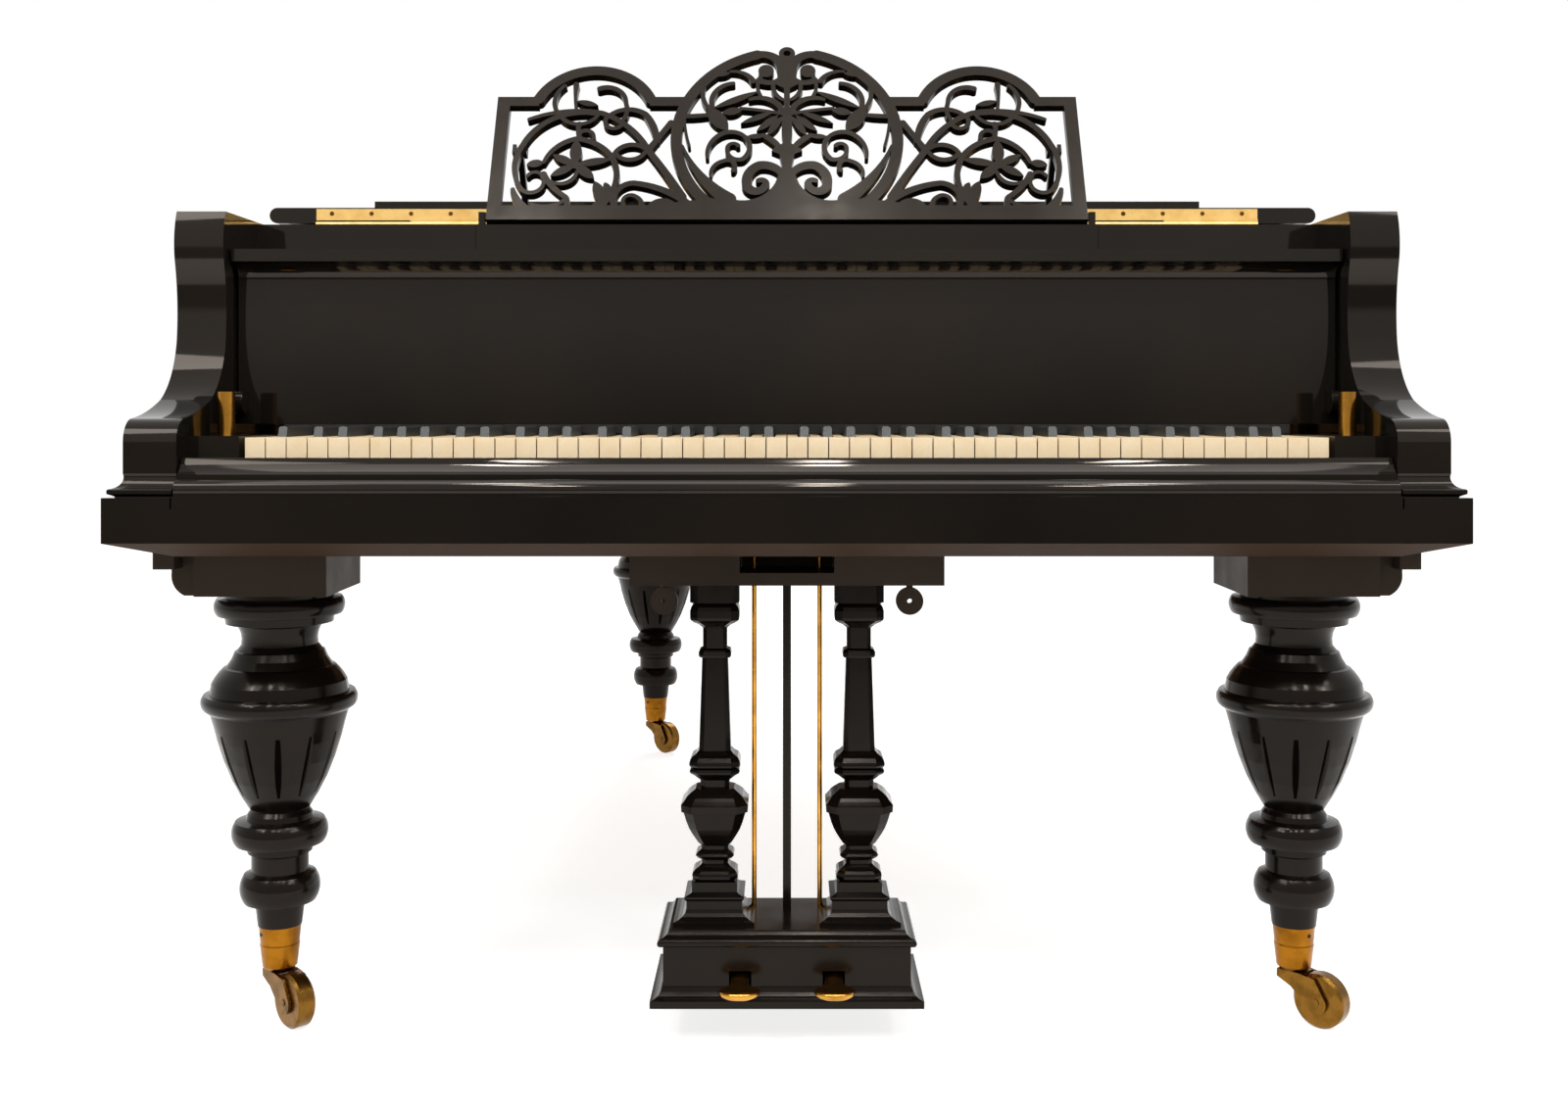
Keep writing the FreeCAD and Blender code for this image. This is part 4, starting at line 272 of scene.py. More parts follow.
@dataclass(frozen=True)
class LacqueredBrass(Finish):
    """Polished brass under old lacquer: gold, with brown tarnish in soft patches and a fine polish line."""

    bright: str = "#c9923c"
    brown: str = "#946424"
    smooth: float = 0.14
    dull: float = 0.3
    patch_mm: float = 30.0
    patch_from: float = 0.42
    patch_to: float = 0.75
    metal: float = 1.0
    # Real polish lines are finer than a tenth of a millimetre. They are drawn coarser, so that they show.
    line_mm: Triple = (0.7, 14.0, 14.0)
    line_depth_mm: float = 0.01
    line_strength: float = 0.4

    def sockets(self, tree: Tree, place: Socket) -> dict[str, object]:
        """Draw tarnish patches that darken and dull the metal together.

        Args:
            tree: The material's node tree.
            place: Object coordinates, in metres.

        Returns:
            A value or a socket for each named input of the shader.
        """
        patch = spots(tree, place, (self.patch_mm,) * 3, 5.0)
        lines = spots(tree, place, self.line_mm, 2.0)
        share = add_node(tree, "ShaderNodeMapRange", {"Value": patch, "From Min": self.patch_from,
                                                      "From Max": self.patch_to}).outputs[0]
        colour = add_node(tree, "ShaderNodeMix", {SHARE: share, FIRST: linear(self.bright), SECOND: linear(self.brown)},
                          data_type="RGBA").outputs[MIXED]
        rough = add_node(tree, "ShaderNodeMapRange", {"Value": patch, **MIDDLE, "To Min": self.smooth,
                                                      "To Max": self.dull}).outputs[0]
        normal = add_node(tree, "ShaderNodeBump", {"Height": lines, "Strength": self.line_strength,
                                                   "Distance": self.line_depth_mm * MM}).outputs[0]
        return {"Base Color": colour, "Roughness": rough, "Normal": normal, "Metallic": self.metal}


@dataclass(frozen=True)
class Timber(Finish):
    """Planed wood: growth lines along one axis, darker late wood, and pores."""

    pale: str = "#c89c68"
    dark: str = "#8f6238"
    along: Axis = Axis.Y
    ring_mm: float = 4.0
    streak_stretch: float = 60.0
    band_width: float = 12.0
    band_stretch: float = 300.0
    grain_from: float = 0.75
    grain_to: float = 1.25
    rough: float = 0.5
    smoother: float = 0.06
    rougher: float = 0.1
    grain_depth_mm: float = 0.06
    grain_strength: float = 0.3
    coat: float = 0.0
    coat_roughness: float = 0.15

    def sockets(self, tree: Tree, place: Socket) -> dict[str, object]:
        """Draw long streaks in the grain's direction, with wide slow bands of tone.

        Args:
            tree: The material's node tree.
            place: Object coordinates, in metres.

        Returns:
            A value or a socket for each named input of the shader.
        """
        narrow = [self.ring_mm] * 3
        narrow[self.along.value] = self.streak_stretch * self.ring_mm
        streak = spots(tree, place, tuple(narrow), 4.0)
        wide = [self.band_width * self.ring_mm] * 3
        wide[self.along.value] = self.band_stretch * self.ring_mm
        band = spots(tree, place, tuple(wide), 2.0)
        grain = add_node(tree, "ShaderNodeMath", {0: streak, 1: band}, operation="ADD").outputs[0]
        share = add_node(tree, "ShaderNodeMapRange", {"Value": grain, "From Min": self.grain_from,
                                                      "From Max": self.grain_to}).outputs[0]
        colour = add_node(tree, "ShaderNodeMix", {SHARE: share, FIRST: linear(self.pale), SECOND: linear(self.dark)},
                          data_type="RGBA").outputs[MIXED]
        rough = add_node(tree, "ShaderNodeMapRange", {"Value": streak, **MIDDLE, "To Min": self.rough - self.smoother,
                                                      "To Max": self.rough + self.rougher}).outputs[0]
        normal = add_node(tree, "ShaderNodeBump", {"Height": streak, "Strength": self.grain_strength,
                                                   "Distance": self.grain_depth_mm * MM}).outputs[0]
        return {"Base Color": colour, "Roughness": rough, "Normal": normal, "Coat Weight": self.coat,
                "Coat Roughness": self.coat_roughness}


@dataclass(frozen=True)
class IvoryKey(Finish):
    """A natural key: ivory head and tail with faint grain over a limewood stick."""

    pale: str = "#ecdaba"
    aged: str = "#e2c99f"
    wood: str = "#c9a878"
    cover_mm: float = 2.0
    top: float = 0.704
    front: float = -0.955
    seen_to: float = -0.79
    # Real ivory lines are a third of this width. They are drawn coarser, so that they show.
    grain_mm: Triple = (1.4, 45.0, 1.4)
    stain_mm: float = 30.0
    aged_from: float = 0.7
    aged_to: float = 1.4
    wood_roughness: float = 0.55
    ivory_roughness: float = 0.22
    grain_depth_mm: float = 0.02
    grain_strength: float = 0.3

    def sockets(self, tree: Tree, place: Socket) -> dict[str, object]:
        """Draw ivory on the top and the front, and bare wood on the sides below and behind.

        Args:
            tree: The material's node tree.
            place: Object coordinates, in metres.

        Returns:
            A value or a socket for each named input of the shader.
        """
        grain = spots(tree, place, self.grain_mm)
        stain = spots(tree, place, (self.stain_mm,) * 3)
        age = add_node(tree, "ShaderNodeMath", {0: grain, 1: stain}, operation="ADD").outputs[0]
        share = add_node(tree, "ShaderNodeMapRange", {"Value": age, "From Min": self.aged_from,
                                                      "From Max": self.aged_to}).outputs[0]
        ivory = add_node(tree, "ShaderNodeMix", {SHARE: share, FIRST: linear(self.pale), SECOND: linear(self.aged)},
                         data_type="RGBA").outputs[MIXED]
        cover = beyond(tree, place, Axis.Z, self.top - self.cover_mm * MM)
        face = beyond(tree, place, Axis.Y, self.front + self.cover_mm * MM, above=False)
        either = add_node(tree, "ShaderNodeMath", {0: cover, 1: face}, operation="MAXIMUM").outputs[0]
        shown = beyond(tree, place, Axis.Y, self.seen_to, above=False)
        both = add_node(tree, "ShaderNodeMath", {0: either, 1: shown}, operation="MULTIPLY").outputs[0]
        colour = add_node(tree, "ShaderNodeMix", {SHARE: both, FIRST: linear(self.wood), SECOND: ivory},
                          data_type="RGBA").outputs[MIXED]
        rough = add_node(tree, "ShaderNodeMapRange", {"Value": both, "To Min": self.wood_roughness,
                                                      "To Max": self.ivory_roughness}).outputs[0]
        normal = add_node(tree, "ShaderNodeBump", {"Height": grain, "Strength": self.grain_strength,
                                                   "Distance": self.grain_depth_mm * MM}).outputs[0]
        return {"Base Color": colour, "Roughness": rough, "Normal": normal, "IOR": 1.54}


@dataclass(frozen=True)
class BronzePaint(Finish):
    """Cast iron under bronze paint: dull gold with the sand's fine texture."""

    paint: str = "#b08a46"
    shade: str = "#7d5f2c"
    # Moulding sand is finer than this. It is drawn coarser, so that it shows.
    sand_mm: float = 2.5
    sand_depth_mm: float = 0.15
    sand_strength: float = 0.5
    tone_mm: float = 120.0
    smooth: float = 0.34
    rough: float = 0.5
    metal: float = 0.75

    def sockets(self, tree: Tree, place: Socket) -> dict[str, object]:
        """Draw sand texture in the relief, and slow tone where the paint lies thicker.

        Args:
            tree: The material's node tree.
            place: Object coordinates, in metres.

        Returns:
            A value or a socket for each named input of the shader.
        """
        sand = spots(tree, place, (self.sand_mm,) * 3)
        tone = spots(tree, place, (self.tone_mm,) * 3)
        share = add_node(tree, "ShaderNodeMapRange", {"Value": tone, **MIDDLE}).outputs[0]
        colour = add_node(tree, "ShaderNodeMix", {SHARE: share, FIRST: linear(self.paint), SECOND: linear(self.shade)},
                          data_type="RGBA").outputs[MIXED]
        rough = add_node(tree, "ShaderNodeMapRange", {"Value": sand, **MIDDLE, "To Min": self.smooth,
                                                      "To Max": self.rough}).outputs[0]
        normal = add_node(tree, "ShaderNodeBump", {"Height": sand, "Strength": self.sand_strength,
                                                   "Distance": self.sand_depth_mm * MM}).outputs[0]
        return {"Base Color": colour, "Roughness": rough, "Normal": normal, "Metallic": self.metal}


@dataclass(frozen=True)
class StringWire(Finish):
    """Steel wire, wound with copper in the bass."""

    steel: str = "#b8b7b3"
    copper: str = "#a8633c"
    bass_to: float = -0.32
    # The real winding's turns are about half as wide. They are drawn coarser, so that they show.
    winding_mm: float = 2.0
    winding_length_mm: float = 200.0
    winding_depth_mm: float = 0.3
    winding_strength: float = 0.5
    smooth: float = 0.25
    rough: float = 0.4

    def sockets(self, tree: Tree, place: Socket) -> dict[str, object]:
        """Draw copper in the bass, steel elsewhere, and the winding's turns along the wire.

        Args:
            tree: The material's node tree.
            place: Object coordinates, in metres.

        Returns:
            A value or a socket for each named input of the shader.
        """
        bass = beyond(tree, place, Axis.X, self.bass_to, above=False)
        turns = spots(tree, place, (self.winding_length_mm, self.winding_mm, self.winding_length_mm), 0.0)
        colour = add_node(tree, "ShaderNodeMix", {SHARE: bass, FIRST: linear(self.steel), SECOND: linear(self.copper)},
                          data_type="RGBA").outputs[MIXED]
        rough = add_node(tree, "ShaderNodeMapRange", {"Value": turns, **MIDDLE, "To Min": self.smooth,
                                                      "To Max": self.rough}).outputs[0]
        normal = add_node(tree, "ShaderNodeBump", {"Height": turns, "Strength": self.winding_strength,
                                                   "Distance": self.winding_depth_mm * MM}).outputs[0]
        return {"Base Color": colour, "Roughness": rough, "Normal": normal, "Metallic": 1.0}


@dataclass(frozen=True)
class FeltedWood(Finish):
    """A wooden piece with felt past a level: matt nap beside plain wood."""

    wood: str = "#c7a070"
    felt: str = "#ddd5c2"
    worn: str = "#6d6558"
    worn_share: float = 0.25
    level: float = 0.0
    felt_above: bool = False
    # Wool fibres are far finer than this. The nap is drawn coarser, so that it shows.
    nap_mm: float = 1.2
    nap_depth_mm: float = 0.3
    nap_strength: float = 0.4
    wood_roughness: float = 0.45
    felt_roughness: float = 0.95

    def sockets(self, tree: Tree, place: Socket) -> dict[str, object]:
        """Draw the felt's nap as fine noise, with wood on the other side of the level.

        Args:
            tree: The material's node tree.
            place: Object coordinates, in metres.

        Returns:
            A value or a socket for each named input of the shader.
        """
        nap = spots(tree, place, (self.nap_mm,) * 3, 4.0)
        felted = beyond(tree, place, Axis.Z, self.level, above=self.felt_above)
        wear = add_node(tree, "ShaderNodeMapRange", {"Value": nap, **MIDDLE, "To Max": self.worn_share}).outputs[0]
        shade = add_node(tree, "ShaderNodeMix", {SHARE: wear, FIRST: linear(self.felt), SECOND: linear(self.worn)},
                         data_type="RGBA").outputs[MIXED]
        colour = add_node(tree, "ShaderNodeMix", {SHARE: felted, FIRST: linear(self.wood), SECOND: shade},
                          data_type="RGBA").outputs[MIXED]
        rough = add_node(tree, "ShaderNodeMapRange", {"Value": felted, "To Min": self.wood_roughness,
                                                      "To Max": self.felt_roughness}).outputs[0]
        normal = add_node(tree, "ShaderNodeBump", {"Height": nap, "Strength": self.nap_strength,
                                                   "Distance": self.nap_depth_mm * MM}).outputs[0]
        return {"Base Color": colour, "Roughness": rough, "Normal": normal}


# Fruitwood stained black under rubbed shellac: a near-black mirror, cloudy where hands and dusters have been.
CASE_POLISH = BlackPolish("ebonised_polish")
# The same on the keybed, whose underside is only stained: dull below the front edge, and brown there as stain together
# with a painted reflection of a wooden floor.
BED_POLISH = BlackPolish("ebonised_keybed", underside_level=0.5893)
# Stained wood with no polish, as on blocks that few people see: dull brown-black, its brown partly a painted reflection
# of a wooden floor.
STAIN_AND_FLOOR_REFLECTION = BlackPolish("ebonised_stain_and_reflection", smooth=0.45, hazy=0.58, gloss=0.2, dark="#241c17", warm="#30271f",
                      haze_mm=60.0)
# Turned work, polished on the lathe: black, with wide soft lights on its rings.
TURNED_POLISH = BlackPolish("ebonised_turning", smooth=0.13, hazy=0.24, gloss=0.17, dark="#090706", warm="#110d0a",
                            haze_mm=45.0)
# Sawn fretwork, polished by brush: softer and a little lighter than the case.
FRET_POLISH = BlackPolish("ebonised_fretwork", smooth=0.16, hazy=0.27, gloss=0.1, dark="#110e0b", warm="#19140f",
                          haze_mm=30.0)
# Dyed wool felt: black, with no shine at all.
KEY_FELT = FeltedWood("black_felt", wood="#0a0908", felt="#0a0908", worn="#191512", level=OVER_ALL)
# Cast and drawn brass under lacquer: gold, browner where the lacquer has worn.
BRASS = LacqueredBrass("lacquered_brass")
# Rolled brass, brushed to satin and lacquered: pale gold that spreads the light.
HINGE_BRASS = LacqueredBrass("satin_brass", bright="#f1c97c", brown="#d8a95c", smooth=0.36, dull=0.46, metal=0.7)
# Brass with no lacquer, darkened by age and floors: brown gold.
OLD_BRASS = LacqueredBrass("aged_brass", bright="#7a5621", brown="#523913", smooth=0.2, dull=0.36, patch_mm=18.0)
# Cast brass under a toned lacquer: deep orange gold.
CUP_BRASS = LacqueredBrass("toned_brass", bright="#966117", brown="#70450f", smooth=0.2, dull=0.34, patch_mm=24.0)
# Steamed beech, planed: pinkish brown with short fine lines.
BEECH = Timber("planed_beech")
# Quarter-sawn spruce under varnish: straight close rings and a light shine.
SPRUCE = Timber("varnished_spruce", pale="#dcb680", dark="#b5854c", ring_mm=2.2, rough=0.35, coat=0.4)
# Oiled ebony: black with faint brown streaks.
EBONY = Timber("ebony", pale="#0b0a09", dark="#171311", ring_mm=1.2, rough=0.32)
# Polished ivory on limewood: warm cream with faint lines, yellowed by age.
IVORY = IvoryKey("ivory_key")
# Sand-cast iron under bronze paint: dull gold, a little rough.
IRON = BronzePaint("bronzed_iron")
# Drawn steel wire, with copper round it in the bass: bright grey and red-brown.
WIRE = StringWire("piano_wire")
# Blued steel: cool mid grey.
PIN_STEEL = StringWire("blued_pins", steel="#8d9096", bass_to=BESIDE_ALL)
# Browned steel: dark, so that a screw reads as a dot on brass.
DARK_STEEL = StringWire("dark_screws", steel="#3a2c1c", bass_to=BESIDE_ALL)
# Pressed white wool on wooden mouldings: matt cream over pale wood.
HAMMER = FeltedWood("hammer_felt", level=0.79, felt_above=True)
# Soft white wool under black damper heads.
DAMPER = FeltedWood("damper_felt", wood="#141210", felt="#e4dccb", level=0.84)

NODE_FINISHES: dict[Finish, tuple[str, ...]] = {
    BED_POLISH: ("keybed",),
    CASE_POLISH: ("rim", "keyslip", "arm_left", "arm_right", "plinths", "key_blocks", "fallboard",
                  "shelf_sides", "music_tray", "lid", "lid_flap", "lid_prop"),
    FRET_POLISH: ("music_desk", "desk_struts"),
    TURNED_POLISH: ("legs", "lyre_columns", "pedal_box"),
    STAIN_AND_FLOOR_REFLECTION: ("leg_blocks", "lyre_block"),
    BRASS: ("fallboard_rests", "lid_hinge_case_leaves", "lid_hinge_lid_leaves", "pedal_left", "pedal_right",
            "pedal_rod_left", "pedal_rod_right"),
    CUP_BRASS: ("castor_cups",),
    HINGE_BRASS: ("flap_hinge_lid_leaf", "flap_hinge_flap_leaf"),
    OLD_BRASS: ("castor_horn_front_left", "castor_horn_front_right", "castor_horn_rear",
                "castor_wheel_front_left", "castor_wheel_front_right", "castor_wheel_rear"),
    BEECH: ("inner_rim", "back_braces", "wrest_plank", "bridges", "action_frame"),
    SPRUCE: ("soundboard",),
    EBONY: ("keys_c_sharp", "keys_d_sharp", "keys_f_sharp", "keys_g_sharp", "keys_a_sharp"),
    IVORY: ("keys_c", "keys_d", "keys_e", "keys_f", "keys_g", "keys_a", "keys_b"),
    IRON: ("iron_plate",),
    WIRE: ("strings",),
    PIN_STEEL: ("tuning_pins",),
    HAMMER: ("hammers",),
    DAMPER: ("dampers",),
}


def piece_from(mesh: bmesh.types.BMesh, name: str, finish: Finish, body: str) -> bpy.types.Object:
    """Make a finished piece from a bmesh and let it ride on a body.

    Args:
        mesh: The shape, in place, in metres. It is freed.
        name: The piece's name.
        finish: Its surface.
        body: The body that carries it.

    Returns:
        The new object, at the origin.
    """
    bmesh.ops.remove_doubles(mesh, verts=mesh.verts, dist=MERGE_DISTANCE)
    bmesh.ops.recalc_face_normals(mesh, faces=mesh.faces)
    data = bpy.data.meshes.new(name)
    mesh.to_mesh(data)
    mesh.free()
    piece = bpy.data.objects.new(name, data)
    bpy.context.scene.collection.objects.link(piece)
    finish.dress(piece)
    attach(piece, body)
    LOG.info("piece %s on %s, %d faces", name, body, len(data.polygons))
    return piece


def rounded_block(size: Triple, round_edge: float, segments: int, centre: Triple) -> bmesh.types.BMesh:
    """Make a block with round edges.

    Args:
        size: Its width, depth and height, in metres.
        round_edge: The radius of its edges, in metres.
        segments: The steps in each round.
        centre: Its middle.

    Returns:
        The block's bmesh.
    """
    mesh = bmesh.new()
    bmesh.ops.create_cube(mesh, size=1.0)
    bmesh.ops.scale(mesh, verts=mesh.verts, vec=size)
    bmesh.ops.bevel(mesh, geom=list(mesh.edges), offset=round_edge, affect="EDGES", segments=segments, profile=0.5,
                    material=-1)
    bmesh.ops.translate(mesh, verts=mesh.verts, vec=centre)
    return mesh


@dataclass
class Screws:
    """Slotted screw heads, each set on a face of the piece that it holds."""

    head_radius: float = 3.2 * MM
    head_rise: float = 0.7 * MM
    taper: float = 0.82
    slot_width: float = 0.9 * MM
    slot_depth: float = 0.7
    top_share: float = 0.95
    first_turn: float = 0.35
    turn_step: float = 1.9
    segments: int = 16

    def add_head(self, mesh: bmesh.types.BMesh, centre: Vector, outward: Vector, turn: float) -> None:
        """Add one coned head with a sunk slot.

        Args:
            mesh: The shape so far.
            centre: The middle of the head's seat.
            outward: The way that the head faces.
            turn: The slot's angle, in radians.
        """
        made = bmesh.ops.create_cone(mesh, cap_ends=True, segments=self.segments, radius1=self.head_radius,
                                     radius2=self.taper * self.head_radius, depth=self.head_rise)
        verts = set(made["verts"])
        bmesh.ops.translate(mesh, verts=list(verts), vec=(0, 0, self.head_rise / 2))
        for side in (-1, 1):
            parts = list(verts | {e for v in verts for e in v.link_edges} | {f for v in verts for f in v.link_faces})
            halves = bmesh.ops.bisect_plane(mesh, geom=parts, dist=CUT_TOLERANCE, plane_no=(1, 0, 0),
                                            plane_co=(side * self.slot_width / 2, 0, 0))
            verts |= {part for part in halves["geom_cut"] if isinstance(part, bmesh.types.BMVert)}
        bottom = [f for f in {f for v in verts for f in v.link_faces}
                  if abs(f.calc_center_median().x) < self.slot_width / 4
                  and f.calc_center_median().z > self.top_share * self.head_rise]
        sunk = bmesh.ops.extrude_face_region(mesh, geom=bottom)
        moved = [part for part in sunk["geom"] if isinstance(part, bmesh.types.BMVert)]
        bmesh.ops.translate(mesh, verts=moved, vec=(0, 0, -self.slot_depth * self.head_rise))
        bmesh.ops.delete(mesh, geom=bottom, context="FACES_ONLY")
        seat = Matrix.Translation(centre) @ outward.to_track_quat("Z", "Y").to_matrix().to_4x4()
        bmesh.ops.transform(mesh, matrix=seat @ Matrix.Rotation(turn, 4, "Z"), verts=list(verts | set(moved)))

    def row(self, name: str, places: list[Vector], outward: list[Vector], finish: Finish, body: str,
            slot: RecordSlot) -> None:
        """Set heads at several places as one piece.

        Args:
            name: The piece's name.
            places: The middle of each seat.
            outward: The way that each faces.
            finish: Their surface.
            body: The body that carries them.
            slot: The record's material slot. Not used.
        """
        mesh = bmesh.new()
        for number, (place, way) in enumerate(zip(places, outward)):
            self.add_head(mesh, place, way, self.first_turn + self.turn_step * number)
        piece_from(mesh, name, finish, body)


@dataclass
class FlapFittings:
    """Screws along the long brass hinge of the folded flap."""

    leaf: str = "flap_hinge_flap_leaf"
    pitch: float = 55 * MM
    margin: float = 22 * MM
    leaf_thickness: float = 2 * MM
    drop: float = 6.5 * MM
    slot_width: float = 1.4 * MM

    def build(self) -> None:
        """Set the screws in the leaf's upper half, clear of the knuckles."""
        low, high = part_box(self.leaf)
        span = high.x - low.x - 2 * self.margin
        count = round(span / self.pitch)
        places = [Vector((low.x + self.margin + span / count * number, high.y - self.leaf_thickness,
                          high.z - self.drop)) for number in range(count + 1)]
        forwards = [Vector((0, -1, 0))] * len(places)
        Screws(slot_width=self.slot_width).row("flap_hinge_screws", places, forwards, OLD_BRASS, "lid_flap",
                                               RecordSlot.BRASS)


@dataclass
class FallboardFelt:
    """The black felt strip under the fallboard's lower edge, over the key tails."""

    gap_above_keys: float = 1.5 * MM
    end_gap: float = 65 * MM
    depth: float = 18 * MM
    round_edge: float = 1.5 * MM

    def build(self) -> None:
        """Lay the strip between the board's lower edge and the keys."""
        low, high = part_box("fallboard")
        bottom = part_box("keys_c")[1].z + self.gap_above_keys
        size = (high.x - low.x - 2 * self.end_gap, self.depth, low.z - bottom)
        mesh = rounded_block(size, self.round_edge, 3, (0, high.y - self.depth / 2, (low.z + bottom) / 2))
        piece_from(mesh, "fallboard_felt", KEY_FELT, "fallboard")


@dataclass
class CupScrews:
    """One dark screw in each castor cup, turned away from the front."""

    # Each leg's X and Y in metres, and the screw's turn from the front in degrees.
    legs: tuple[Triple, ...] = ((-0.612, -0.825, -50), (0.612, -0.825, 30), (-0.283, 0.745, -40))
    drop: float = 9 * MM
    radius: float = 24.1 * MM
    head_radius: float = 2.6 * MM

    def build(self) -> None:
        """Set the screws a little below the cups' upper edge."""
        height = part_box("castor_cups")[1].z - self.drop
        ways = [Vector((math.sin(math.radians(turn)), -math.cos(math.radians(turn)), 0)) for _, _, turn in self.legs]
        places = [Vector((x, y, height)) + way * self.radius for (x, y, _), way in zip(self.legs, ways)]
        Screws(head_radius=self.head_radius).row("castor_cup_screws", places, ways, DARK_STEEL, "case",
                                                 RecordSlot.BRASS)


@dataclass
class LyreRecess:
    """The black board that closes the recess over the lyre's rods from behind."""

    width: float = 111.6 * MM
    height: float = 27.6 * MM
    thickness: float = 8 * MM
    seat: float = 0.2 * MM
    round_edge: float = 0.8 * MM

    def build(self) -> None:
        """Stand the board in the recess, flush with the block's back."""
        low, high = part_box("lyre_block")
        centre = ((low.x + high.x) / 2, high.y - self.thickness / 2 - self.seat,
                  high.z - self.height / 2 - self.seat)
        mesh = rounded_block((self.width, self.thickness, self.height), self.round_edge, 2, centre)
        piece_from(mesh, "lyre_recess_board", STAIN_AND_FLOOR_REFLECTION, "case")


@dataclass
class Pedal:
    """A cast brass pedal with a thin spoon-shaped nose, in place of the solid's plain lever."""

    side: Side
    nose_half: float = 24 * MM
    nose_reach: float = 22 * MM
    neck_end: float = 42 * MM
    shank_half: float = 10.5 * MM
    nose_thickness: float = 9 * MM
    shank_thickness: float = 12 * MM
    lip: float = 5 * MM
    pivot_back: float = 105 * MM
    boss_radius: float = 8.8 * MM
    toe_past_rod: float = 4.5 * MM
    toe_depth: float = 16 * MM
    squareness: float = 3.0
    ring_points: int = 24
    rows_mm: tuple[float, ...] = (0.15, 0.6, 1.4, 2.5, 4, 6, 9, 13, 18, 22, 27, 32, 37, 42, 50, 64)

    def half_width(self, back: float) -> float:
        """Give half the lever's width.

        Args:
            back: The distance behind the tip.

        Returns:
            The half width: an oval nose that runs into the shank.
        """
        if back < self.nose_reach:
            return self.nose_half * math.sqrt(1 - (1 - back / self.nose_reach) ** 2)
        share = min((back - self.nose_reach) / (self.neck_end - self.nose_reach), 1.0)
        return self.shank_half + (self.nose_half - self.shank_half) * (0.5 + 0.5 * math.cos(math.pi * share))

    def ring(self, mesh: bmesh.types.BMesh, tip: Vector, back: float) -> list[bmesh.types.BMEdge]:
        """Add one cross-section with rounded edges.

        Args:
            mesh: The shape so far.
            tip: The point under the nose's end, on the lever's underside.
            back: The distance behind the tip.

        Returns:
            The section's edges.
        """
        swell = min(max((back - self.neck_end) / self.nose_reach, 0.0), 1.0)
        thickness = self.nose_thickness + (self.shank_thickness - self.nose_thickness) * swell
        blunt = math.sqrt(1 - (1 - min(back / self.lip, 1.0)) ** 2)
        made = bmesh.ops.create_circle(mesh, segments=self.ring_points, radius=1.0)
        for vert in made["verts"]:
            across, up = (math.copysign(abs(part) ** (2 / self.squareness), part) for part in vert.co.xy)
            vert.co = tip + Vector((across * self.half_width(back), back, (1 + up * blunt) * thickness / 2))
        return list({edge for vert in made["verts"] for edge in vert.link_edges})

    def build(self) -> None:
        """Loft the lever from tip to tail, with its pivot boss and the toe under the rod."""
        node = "pedal_" + self.side.value
        low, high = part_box(node)
        middle = (low + high) / 2
        rod = sum(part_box("pedal_rod_" + self.side.value), Vector()) / 2
        tip = Vector((middle.x, low.y, middle.z - self.shank_thickness / 2))
        mesh = bmesh.new()
        backs = [row * MM for row in self.rows_mm] + [high.y - low.y]
        rings = [self.ring(mesh, tip, back) for back in backs]
        for first, second in zip(rings, rings[1:]):
            bmesh.ops.bridge_loops(mesh, edges=first + second)
        bmesh.ops.holes_fill(mesh, edges=rings[0] + rings[-1], sides=self.ring_points)
        for face in mesh.faces:
            face.smooth = len(face.verts) < self.ring_points
        pivot = Matrix.Translation((middle.x, low.y + self.pivot_back, middle.z))
        bmesh.ops.create_cone(mesh, cap_ends=True, segments=self.ring_points, radius1=self.boss_radius,
                              radius2=self.boss_radius, depth=2 * self.shank_half,
                              matrix=pivot @ Matrix.Rotation(math.pi / 2, 4, "Y"))
        width = abs(rod.x - middle.x) + self.toe_past_rod
        centre = Vector((middle.x + math.copysign(width / 2, rod.x - middle.x), rod.y, middle.z))
        size = Matrix.Diagonal((width, self.toe_depth, self.shank_thickness, 1.0))
        bmesh.ops.create_cube(mesh, size=1.0, matrix=Matrix.Translation(centre) @ size)
        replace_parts(piece_from(mesh, "cast_" + node, BRASS, node), node)


@dataclass(frozen=True)
class Lamp:
    """A soft rectangular lamp."""

    name: str
    place: Triple
    size: tuple[float, float]
    power: float
    target: Triple

    def hang(self) -> None:
        """Hang the lamp at its place, facing its target."""
        data = bpy.data.lights.new(self.name, "AREA")
        data.shape = "RECTANGLE"
        data.size, data.size_y = self.size
        data.energy = self.power
        lamp = bpy.data.objects.new(self.name, data)
        lamp.location = self.place
        lamp.rotation_euler = (Vector(self.target) - Vector(self.place)).to_track_quat("-Z", "Y").to_euler()
        bpy.context.scene.collection.objects.link(lamp)


